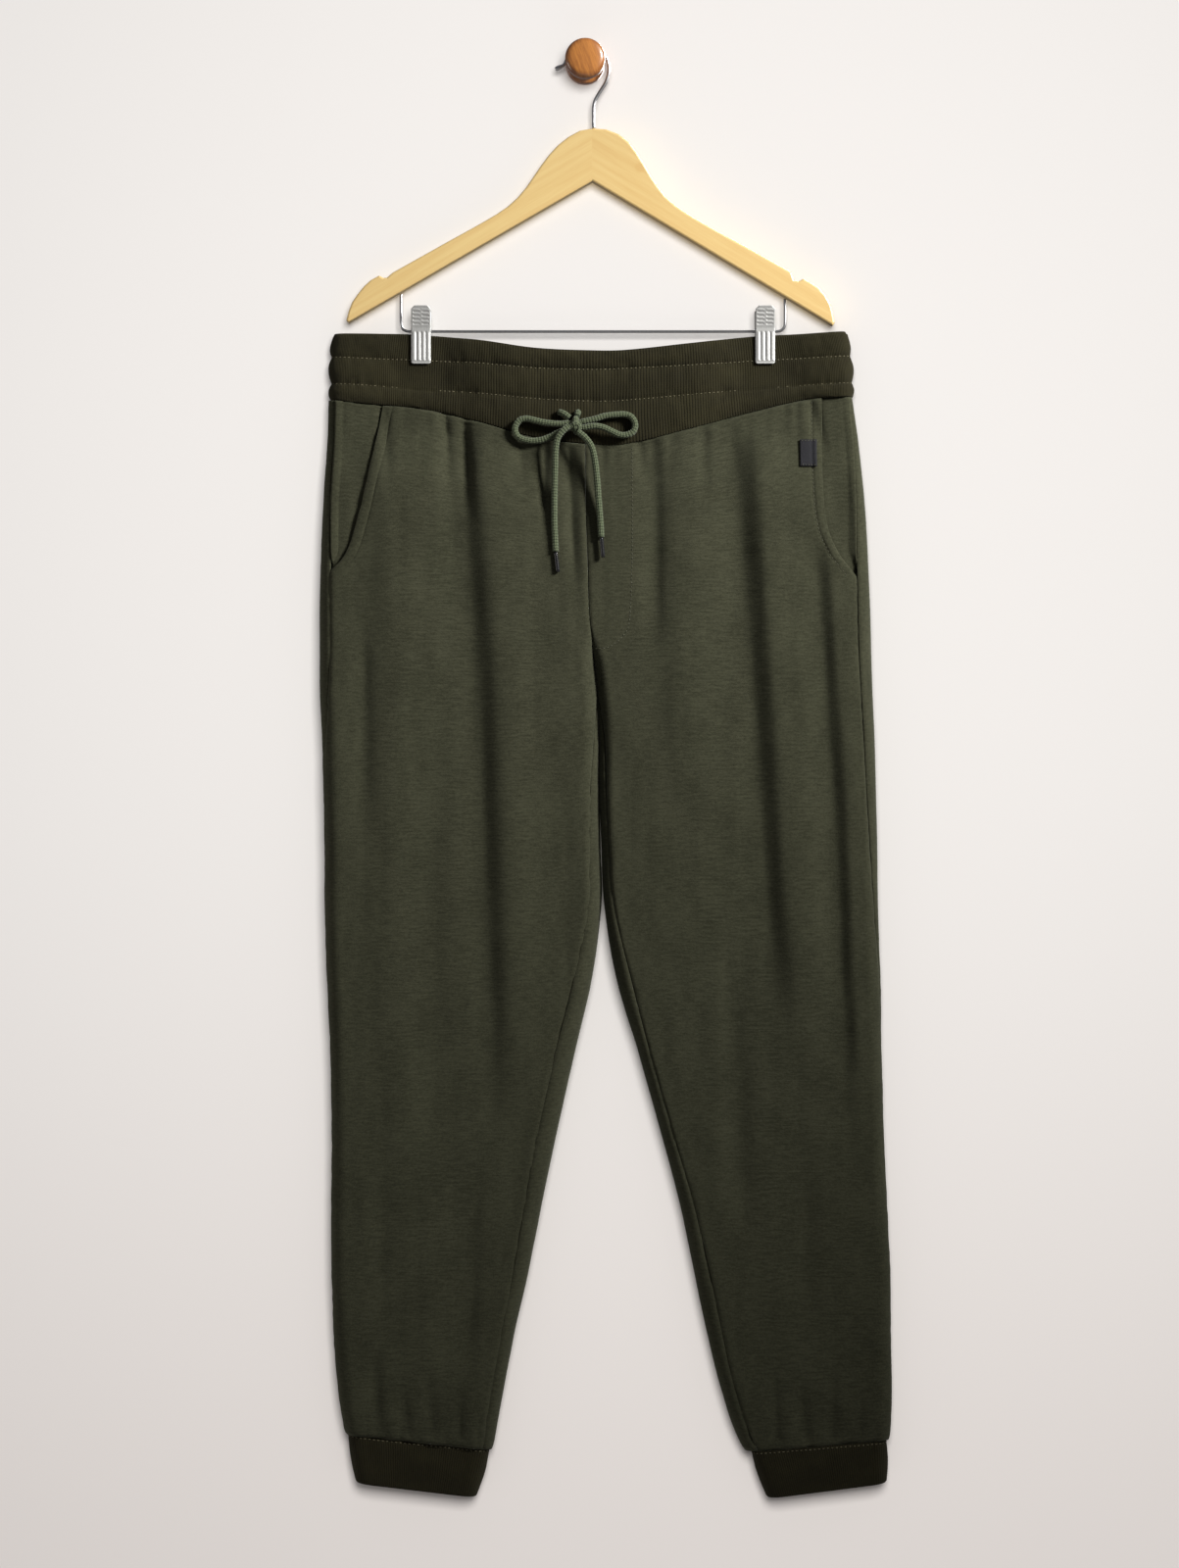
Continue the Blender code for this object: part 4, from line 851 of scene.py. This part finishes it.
panels = {
    "front_R": {"side": "R", "front": True, "seed": 11, "flat": (0.252, 0.965), "area": 0.2},
    "front_L": {"side": "L", "front": True, "seed": 23, "flat": (0.252, 0.965), "area": 0.2},
    "back_R": {"side": "R", "front": False, "seed": 37, "flat": (0.3, 0.965), "area": 0.23},
    "back_L": {"side": "L", "front": False, "seed": 51, "flat": (0.3, 0.965), "area": 0.23},
}


def panelEdges(facts, rowZ):
    side = facts["side"]
    if facts["front"]:
        return inseamP(side, rowZ) + halfGap, pocketP(side, rowZ) - halfGap
    return sideSeamP(side, rowZ) + halfGap, 2 * legRing(side, rowZ).total + inseamP(side, rowZ) - halfGap


def panelFace(name, p, rowZ, raised=0.0):
    # points on a panel's face, with its creases, or raised above it
    facts = panels[name]
    side = facts["side"]
    start, end = panelEdges(facts, rowZ)
    hemmed = ease((rowZ - pockets[side][-1][0] - 4) / 12) if facts["front"] else None
    points = onSurface(side, p, rowZ)
    onFront = np.mod(p, 2 * legRing(side, rowZ).total) <= legRing(side, rowZ).total
    out = clothRelief(side, points, onFront, p - start, end - p, facts["seed"], hemmed)
    normals = normalsOf(side, p, rowZ)
    return points + normals * (out + raised)[:, None], normals


def makePanel(name):
    facts = panels[name]

    def place(u, v):
        rowZ = mix(waistSide - halfGap, legEnd + halfGap, v)
        start, end = panelEdges(facts, rowZ)
        u = u - panelGrid["edgeBunch"] * np.sin(2 * halfTurn * u) / (2 * halfTurn)
        return panelFace(name, mix(start, end, u), rowZ)[0]

    def lay(u, v):
        rowZ = mix(waistSide, legEnd, v)
        return legRing(facts["side"], rowZ).total * u + 40 * facts["seed"], rowZ

    piece = gridPiece(name, panelGrid["across"], panelGrid["down"], place, lay, thickness=cloth)
    dress(piece, fleece, "fleece", name + "_upper", name + "_lower")


for name in panels:
    makePanel(name)
print("panels made")


# Pocket facings, under the fronts' folded edges
facing = {"tuck": 12.0, "drop": 1.3, "ramp": 8.0, "narrow": 7.0, "wide": 19.0, "foot": 10.0}


def makeFacing(side):
    low = pockets[side][-1][0] - facing["foot"]

    def place(u, v):
        rowZ = mix(waistSide - halfGap, low, v)
        seam, opening = sideSeamP(side, rowZ), pocketP(side, rowZ)
        p = mix(opening - facing["tuck"], seam - 2 * halfGap, u)
        shown = seam - opening - facing["narrow"]
        ramp = facing["ramp"] * ease(shown / (facing["wide"] - facing["narrow"]))
        full = cloth + facing["drop"]
        lift = np.where(ramp < 0.5, full, full * np.clip((seam - p) / np.maximum(ramp, 0.5), 0, 1))
        points = onSurface(side, p, rowZ)
        ripple = 0.5 * softNoise(points[:, 0] / 9, points[:, 2] / 40, 71) * ease((seam - p) / 12)
        return points + normalsOf(side, p, rowZ) * (ripple - lift)[:, None]

    piece = gridPiece(
        "pocket_facing_" + side, 28, 70, place, lambda u, v: (60 * u + 900, 170 * v), thickness=cloth
    )
    dress(piece, fleece, "fleece", "pocket_facing_" + side)


for side in "RL":
    makeFacing(side)


# Waistband: a folded band of rib in three channels
band = {
    "bunch": 1.35, "middle": -276.0, "puff": 2.0, "puffBack": 1.5, "puffStart": 16.0,
    "gather": 0.75, "stitchDip": 0.7, "across": 480, "down": 84, "quarter": 240.0, "channel": 24.0,
}
# round the band's section: v, height from its top edge (0) to its seam (1), depth into its thickness
bandProfile = [
    (0.0, 0.0, 2.0), (0.02, 0.0, 0.9), (0.04, 0.015, 0.15), (0.06, 0.04, 0.0), (0.64, 0.985, 0.0),
    (0.655, 1.0, 0.5), (0.675, 1.0, 3.5), (0.69, 0.985, 4.0), (0.94, 0.04, 4.0), (0.96, 0.015, 3.85),
    (0.98, 0.0, 3.1), (1.0, 0.0, 2.0),
]
channelNames = ("top", "line_1", "line_2", "seam")


def bandHalf(side, way, height, inset, outward):
    channel = np.minimum(np.floor(height * 3 + 1e-6).astype(int), 2)
    t = height * 3 - channel
    z = np.full_like(way, band["middle"])
    for _ in range(5):
        ring = legRing(side, z)
        x, share, front = onRing(ring, way * ring.total)
        heights = np.stack([waistLine(name, x, front) for name in channelNames])
        above = np.take_along_axis(heights, channel[None], 0)[0]
        below = np.take_along_axis(heights, channel[None] + 1, 0)[0]
        z = mix(above, below, t)
    z = z + 2 * halfGap * (height > 0.999)
    outwards = np.where(front, -1, 1)
    middle = shapedY(side, x, z, 0.0, front, False)
    half = np.abs(shapedY(side, x, z, share, front, False) - middle)
    loosened = np.where(channel == 2, 1.0, ease((clipDistance(x) - flatByClip) / band["puffStart"]))
    girth = way * band["quarter"] * sign[side]
    fromLine = np.minimum(t, 1 - t) * band["channel"]
    # tucks that the elastic's stitching makes, deepest at the lines
    nearLine = np.exp(-((fromLine / 7) ** 2))
    tucks = softNoise(girth / 4.2, height * 9, 81) * (0.45 + 0.55 * nearLine)
    tucks += 0.7 * softNoise(girth / 11, height * 3, 82)
    inner = np.where((channel == 0) & (t < 0.5), 0.0, np.exp(-((fromLine / 1.6) ** 2)))
    puff = np.where(front, band["puff"], band["puffBack"]) * np.sin(halfTurn * t)
    puff = (puff + band["gather"] * tucks - band["stitchDip"] * inner) * loosened * (inset < 0.01)
    puff = puff + outward
    half = np.where(inset > 0, np.maximum(half - inset * share, 0), half) + puff * share
    x = x + sign[side] * (puff - inset) * (1 - share)
    return np.stack([x, middle + outwards * half, z], -1)


def bandPoint(u, height, inset, outward=0.0):
    u = np.mod(u, 1.0)
    quarter = np.minimum(np.floor(u * 4).astype(int), 3)
    t = u * 4 - quarter
    t = np.where(quarter % 2 == 0, 1 - (1 - t) ** band["bunch"], t ** band["bunch"])
    way = np.minimum(np.choose(quarter, [t, 1 + t, 2 - t, 1 - t]), 2 - 1e-9)
    left = bandHalf("L", way, height, inset, outward)
    right = bandHalf("R", way, height, inset, outward)
    return np.where((quarter < 2)[:, None], left, right)


def roundProfile(profile, ribPoint):
    # the place function of a folded rib, from its section and the form that it follows
    vs, heights, insets = zip(*profile)
    return lambda u, v: ribPoint(u, np.interp(v, vs, heights), np.interp(v, vs, insets))

def makeWaistband():
    piece = gridPiece(
        "waistband", band["across"], band["down"], roundProfile(bandProfile, bandPoint),
        lambda u, v: (960 * u, 105 * v), wrapped=True,
    )
    dress(piece, rib, "rib", "waistband")


makeWaistband()


# Cuffs: the same rib, turned at the hem
cuffLook = {"front": -28.0, "back": -6.0, "puff": 1.4, "gather": 0.6, "across": 150, "down": 56}
cuffProfile = [
    (0.0, 0.0, 1.6), (0.02, 0.0, 0.4), (0.05, 0.02, 0.0), (0.5, 0.96, 0.0), (0.52, 0.99, 0.5),
    (0.55, 1.0, 1.6), (0.58, 0.99, 2.7), (0.6, 0.96, 3.2), (0.95, 0.02, 3.2), (0.98, 0.0, 2.8),
    (1.0, 0.0, 1.6),
]


def cuffPoint(side, u, height, inset, outward=0.0):
    cuff = cuffs[side]
    outer, inner = mix(cuff.outerTop, cuff.outerHem, height), mix(cuff.innerTop, cuff.innerHem, height)
    deep = (cuffLook["back"] - cuffLook["front"]) / 2
    ring = ringOf(inner + sign[side] * inset, outer - sign[side] * inset, deep, 1.0)
    x, share, front = onRing(ring, u * 2 * ring.total)
    t = np.clip((x - outer) / (inner - outer), 0, 1)
    top = mix(cuff.zOuterTop, cuff.zInnerTop, t) - 2 * halfGap
    z = mix(top, mix(cuff.zOuterHem, cuff.zInnerHem, t), height)
    middle = (cuffLook["front"] + cuffLook["back"]) / 2
    half = deep - inset
    puff = cuffLook["puff"] * np.sin(halfTurn * height)
    puff += cuffLook["gather"] * softNoise(u * 46, height * 2, 91 + sign[side]) * (1 - 0.6 * height)
    puff = np.where(inset < 0.01, puff, 0.0) + outward
    x = x + sign[side] * puff * (1 - share) * np.where(np.abs(x - inner) < np.abs(x - outer), -1, 1)
    return np.stack([x, middle + np.where(front, -1, 1) * (half + puff) * share, z], -1)


def makeCuff(side):
    piece = gridPiece(
        "cuff_" + side, cuffLook["across"], cuffLook["down"],
        roundProfile(cuffProfile, lambda *at: cuffPoint(side, *at)), lambda u, v: (260 * u, 90 * v),
        wrapped=True,
    )
    dress(piece, rib, "rib", "cuff_" + side)


for side in "RL":
    makeCuff(side)
print("waistband and cuffs made")


# Label on the left hip, bare
label = {"x": (194.8, 210.0), "z": (-370.5, -346.0), "thick": 0.8, "lift": 0.7}


def hipPoint(x, z):
    rowZ = z.copy()
    for _ in range(8):
        p = pAtX(legRing("L", rowZ), x)
        rowZ = rowZ + z - onSurface("L", p, rowZ)[:, 2]
    return p, rowZ


def makeLabel():
    def place(u, v):
        p, rowZ = hipPoint(mix(*label["x"], u), mix(label["z"][1], label["z"][0], v))
        lift = label["lift"] + label["thick"] + 0.25 * np.sin(halfTurn * v) * np.sin(halfTurn * u)
        return panelFace("front_L", p, rowZ, lift)[0]

    piece = gridPiece("label", 16, 24, place, lambda u, v: (15 * u, 24 * v), thickness=label["thick"])
    dress(piece, labelCloth, "label", "label")


makeLabel()


# Stitching: short threads laid along a line of points
stitch = {"length": 2.6, "gap": 1.1, "width": 0.75, "height": 0.55, "lift": 0.15}


def stitchRow(bm, points, normals, length=stitch["length"], gap=stitch["gap"]):
    travel = travelAlong(points)
    count = int(travel[-1] / (length + gap))
    for k in range(count):
        at = (k + 0.5) * travel[-1] / count
        middle = Vector([np.interp(at, travel, points[:, axis]) for axis in range(3)])
        ahead = Vector([np.interp(at + length / 2, travel, points[:, axis]) for axis in range(3)])
        back = Vector([np.interp(at - length / 2, travel, points[:, axis]) for axis in range(3)])
        normal = Vector([np.interp(at, travel, normals[:, axis]) for axis in range(3)]).normalized()
        along = (ahead - back).normalized()
        side = normal.cross(along).normalized()
        normal = along.cross(side)
        size = (length / 2, stitch["width"] / 2, stitch["height"] / 2)
        matrix = Matrix((along * size[0], side * size[1], normal * size[2])).transposed().to_4x4()
        matrix.translation = middle
        bmesh.ops.create_icosphere(bm, subdivisions=1, radius=1.0, matrix=Matrix.Scale(mm, 4) @ matrix)


def ribRow(bm, ribPoint, count, height, lift):
    us = np.linspace(0, 1, count)
    at, uncut = np.full_like(us, height), np.zeros_like(us)
    points = ribPoint(us, at, uncut, lift)
    stitchRow(bm, points, points - ribPoint(us, at, uncut, -1.0), 2.4, 1.6)

def makeStitching():
    bm = bmesh.new()
    for height in (1 / 3, 2 / 3):
        ribRow(bm, bandPoint, 1400, height, 0.12)
    for side in "RL":
        ribRow(bm, lambda *at: cuffPoint(side, *at), 300, 0.04, 0.1)
    dress(finishPiece("rib_stitching", bm), paleThread, "rib")
    bm = bmesh.new()
    for side in "RL":
        zs = np.linspace(waistSide - 1.5, pockets[side][-1][0] + 1, 120)
        stitchRow(bm, *panelFace("front_" + side, pocketP(side, zs) - pocketHem, zs, stitch["lift"]))
    # the sewn fly line, which turns in to the centre seam
    fly = [(42.5, -352), (42.8, -400), (42.6, -450), (41.5, -490), (39.3, -515.3), (35.7, -522.5), (27.7, -530.5),
           (19.7, -534.9), (5.4, -536.0), (3.5, -536.0)]
    xs, zs = tubePoints([(x, 0, z) for x, z in fly], 2.0)[:, [0, 2]].T
    stitchRow(bm, *panelFace("front_L", *hipPoint(xs, zs), stitch["lift"]))
    for z in (label["z"][0] + 1.2, label["z"][1] - 1.2):
        xs = np.linspace(label["x"][0] + 0.8, label["x"][1] - 0.8, 12)
        p, rowZ = hipPoint(xs, np.full_like(xs, z))
        stitchRow(bm, *panelFace("front_L", p, rowZ, label["lift"] + label["thick"] + 0.2), 1.6, 0.8)
    dress(finishPiece("fleece_stitching", bm), selfThread, "fleece")


makeStitching()
print("stitching made")


# Clips: pressed jaws with grip ridges above and flutes below
clip = {
    "width": 17.9, "top": -223.0, "end": -275.5, "bend": -243.0, "jaw": 2.6, "lean": 3.6, "chamfer": 3.0,
    "shell": 1.5, "ridge": 3.6, "flute": 4.3,
}


def makeJaw(name, middle, facingWay):
    rest = pinch + 2 * halfGap + clip["jaw"] - 0.4
    tall = clip["top"] - clip["end"]

    def place(u, v):
        z = mix(clip["top"], clip["end"], v)
        half = clip["width"] / 2 - np.clip(clip["chamfer"] - (clip["top"] - z), 0, None)
        half = half - 0.9 * np.clip(1.2 - (z - clip["end"]), 0, 1)
        x = (u * 2 - 1) * half
        out = rest + clip["lean"] * np.clip((z - clip["bend"]) / (clip["top"] - clip["bend"]), 0, 1)
        above = ease((z - clip["bend"] - 1.5) / 1.5) * ease((clip["top"] - 1.6 - z) / 1.5)
        below = ease((clip["bend"] - 2.5 - z) / 2.0) * ease((z - clip["end"] - 2.6) / 1.5)
        column = ease((np.abs(x) - 0.9) / 0.7) * ease((7.4 - np.abs(x)) / 0.7)
        ridges = np.abs(np.sin(halfTurn * (z - clip["bend"]) / clip["ridge"])) ** 0.7
        flutes = np.abs(np.sin(halfTurn * x / clip["flute"])) ** 0.6
        within = ease((8.8 - np.abs(x)) / 0.6)
        out = out + above * column * (ridges - 0.75) * 0.9 + below * within * (flutes - 0.8) * 1.0
        out = out - 0.5 * np.exp(-(((z - clip["end"] - 1.9) / 0.5) ** 2))
        out = out - 0.7 * np.clip(1 - (half - np.abs(x)) / 0.8, 0, 1) ** 2
        return np.stack([middle + x, hangingPlane + facingWay * out, z], -1)

    piece = gridPiece(
        name, 76, 120, place, lambda u, v: (19 * u, tall * v), thickness=clip["shell"], grow=facingWay
    )
    dress(piece, clipMetal, "clip", name)

def repaint(name, material):
    # the finish of a CAD piece that is carried as it is
    mesh = frame["nodes"][name].data
    mesh.materials.clear()
    mesh.materials.append(material)

for side in "RL":
    makeJaw("clip_" + side + "_front", clipX[side], -1)
    makeJaw("clip_" + side + "_back", clipX[side], 1)
    repaint("clip_" + side + "_pivot", clipMetal)

# Hanger wires, hanger wood and knob
wire = {"hook": 3.0, "bar": 2.5, "barZ": -245.4, "bend": 8.0}
hookRoute = [
    (-27.5, -6.2), (-23.2, -4.4), (-19.6, -2.4), (-17.4, 1.4), (-15.6, 6.8), (-11.2, 12.8), (-5.0, 15.8),
    (0.0, 16.4), (6.6, 15.4), (13.8, 11.4), (18.8, 5.3), (21.4, -3.0), (21.2, -10.5), (18.6, -18.6),
    (13.4, -27.0), (9.0, -35.0), (7.8, -41.5), (7.7, -50.0), (7.7, -60.4),
]


def bentWire(corners, radius):
    points = [Vector(corners[0])]
    for before, corner, after in zip(corners, corners[1:], corners[2:]):
        corner = Vector(corner)
        start = corner + (Vector(before) - corner).normalized() * radius
        end = corner + (Vector(after) - corner).normalized() * radius
        for t in np.linspace(0, 1, 6):
            points.append(start * (1 - t) ** 2 + corner * 2 * t * (1 - t) + end * t * t)
    return points + [Vector(corners[-1])]


hook = tubePiece(
    "hanger_hook", [(x, hangingPlane, z) for x, z in hookRoute], wire["hook"], 1.5, 20,
    [(0, 0.9), (0.012, 1.35), (0.03, 1.5), (0.045, 1.2), (0.06, 1), (1, 1)],
)[0]
dress(hook, steel, "steel", "hanger_hook")
corners = [(-168, -211.3), (-168, wire["barZ"]), (182.3, wire["barZ"]), (182.3, -215.6)]
barRoute = bentWire([(x, hangingPlane, z) for x, z in corners], wire["bend"])
bar = tubePiece("hanger_bar", barRoute, wire["bar"], 1.6, 16)[0]
dress(bar, steel, "steel", "hanger_bar")
repaint("hanger_wood", maple)

knobProfile = [
    (17.0, 0.0), (17.4, -0.3), (17.6, -0.8), (17.6, -6.6), (17.3, -7.5), (16.6, -8.1), (14.6, -9.0),
    (14.6, -19.0), (15.6, -21.5), (17.2, -23.2), (18.0, -25.0),
    (18.2, -27.0), (18.2, -33.0), (17.9, -34.6), (17.0, -36.2), (15.6, -37.4), (13.0, -38.1),
    (9.0, -38.6), (4.0, -38.8),
]


def makeKnob():
    bm = bmesh.new()
    verts = [bm.verts.new((radius * mm, y * mm, 0)) for radius, y in knobProfile]
    edges = [bm.edges.new(pair) for pair in zip(verts, verts[1:])]
    bmesh.ops.spin(
        bm, geom=verts + edges, cent=(0, 0, 0), axis=(0, 1, 0), angle=2 * halfTurn, steps=64, use_merge=True
    )
    bmesh.ops.holes_fill(bm, edges=[edge for edge in bm.edges if edge.is_boundary])
    bmesh.ops.recalc_face_normals(bm, faces=bm.faces)
    piece = finishPiece("wall_knob", bm)
    piece.data.set_sharp_from_angle(angle=math.radians(50))
    dress(piece, knobWood, "brown_wood", "wall_knob")


makeKnob()
print("hanger and knob made")


# Stage: a plain pale wall and floor, which aren't part of the object, with painted shade darkening the wall
# towards its foot
# low is the wall's painted shade colour, towards its foot
stageLook = {"wall": (0.80, 0.786, 0.768, 1), "low": (0.755, 0.722, 0.7, 1), "floor": (0.75, 0.74, 0.72, 1)}
stageReach = 6.0


def stagePlane(name, at, tilt, colour):
    bm = bmesh.new()
    turned = Matrix.Translation(at) @ Matrix.Rotation(tilt, 4, "X")
    bmesh.ops.create_grid(bm, x_segments=1, y_segments=1, size=stageReach, matrix=turned)
    mesh = bpy.data.meshes.new(name)
    bm.to_mesh(mesh)
    bm.free()
    made = bpy.data.objects.new(name, mesh)
    bpy.context.scene.collection.objects.link(made)
    paint, start, shader = newMaterial(name, {"Roughness": 0.9, "Specular IOR Level": 0.1})
    place = objectCoordinates(start)
    grain = place.noise(60, 4.0, 0.6)
    # painted shade: the wall's colour darkens from 0.6 m to 1.4 m down, towards its foot
    height = place.part("Z").between(-1.4, -0.6)
    surface(
        start, shader, Base_Color=(height * 0.97 + grain * 0.03).blend(stageLook["low"], colour),
        Normal=bump(start, grain, 0.04, 0.001),
    )
    # clear from behind, so that the object's back can be seen
    behind = start.node("NewGeometry", {}, 6)
    clear = start.node("BsdfTransparent", {})
    whole = start.node("MixShader", {}, i0=behind, i1=Socket(start.tree, shader.outputs[0]), i2=clear)
    start.tree.links.new(whole.out, start.tree.nodes["Material Output"].inputs[0])
    mesh.materials.append(paint)
    return made


wall = stagePlane("wall", (0, 0.0012, 0), halfTurn / 2, stageLook["wall"])
wall.visible_diffuse = wall.visible_glossy = wall.visible_shadow = False
floor = stagePlane("floor", (0, -2.0, -2.1), 0, stageLook["floor"])
stageOnly = bpy.data.collections.new("stage")
for piece in (wall, floor):
    stageOnly.objects.link(piece)
objectOnly = bpy.data.collections.new("object")
for piece in bpy.context.scene.objects:
    if piece.type == "MESH" and piece not in (wall, floor):
        objectOnly.objects.link(piece)

# the key rakes the object from the upper right, and the bounce is what the wall would return from the left;
# the wash is for the wall, with its shadows, and the rear one shows the back
lights = {
    "key": {"at": (2.05, -1.45, 0.85), "aim": (0.0, 0.0, -0.36), "size": 0.7, "power": 11.4, "spread": 39,
            "colour": (1.0, 0.985, 0.95), "stageOnly": False},
    "wash": {"at": (0.25, -2.9, 0.1), "aim": (0.0, 0.0, -0.6), "size": 1.2, "power": 60.0, "spread": 150,
             "colour": (1.0, 0.975, 0.955), "stageOnly": True},
    "bounce": {"at": (-1.6, -0.12, -0.6), "aim": (0.0, 0.0, -0.7), "size": 0.9, "power": 3.5, "spread": 120,
               "colour": (1.0, 0.93, 0.86), "stageOnly": False},
    "rear": {"at": (0.9, 2.6, 0.7), "aim": (0.0, 0.0, -0.7), "size": 1.2, "power": 26.0, "spread": 90,
             "colour": (1.0, 0.99, 0.97), "stageOnly": False},
}
skyLight = {"colour": (0.93, 0.95, 1.0, 1), "strength": 0.17}


def makeLight(name, facts):
    data = bpy.data.lights.new(name, "AREA")
    data.energy, data.size, data.color = facts["power"], facts["size"], facts["colour"]
    data.spread = math.radians(facts["spread"])
    made = bpy.data.objects.new(name, data)
    made.location = facts["at"]
    way = Vector(facts["aim"]) - Vector(facts["at"])
    made.rotation_euler = way.to_track_quat("-Z", "Y").to_euler()
    made.light_linking.receiver_collection = stageOnly if facts["stageOnly"] else objectOnly
    bpy.context.scene.collection.objects.link(made)


for name, facts in lights.items():
    makeLight(name, facts)
world = bpy.data.worlds.new("world")
world.use_nodes = True
sky = world.node_tree.nodes["Background"].inputs
sky[0].default_value, sky[1].default_value = skyLight["colour"], skyLight["strength"]
bpy.context.scene.world = world
bpy.context.scene.view_settings.view_transform = "Standard"
print("stage made")

bpy.context.view_layer.update()
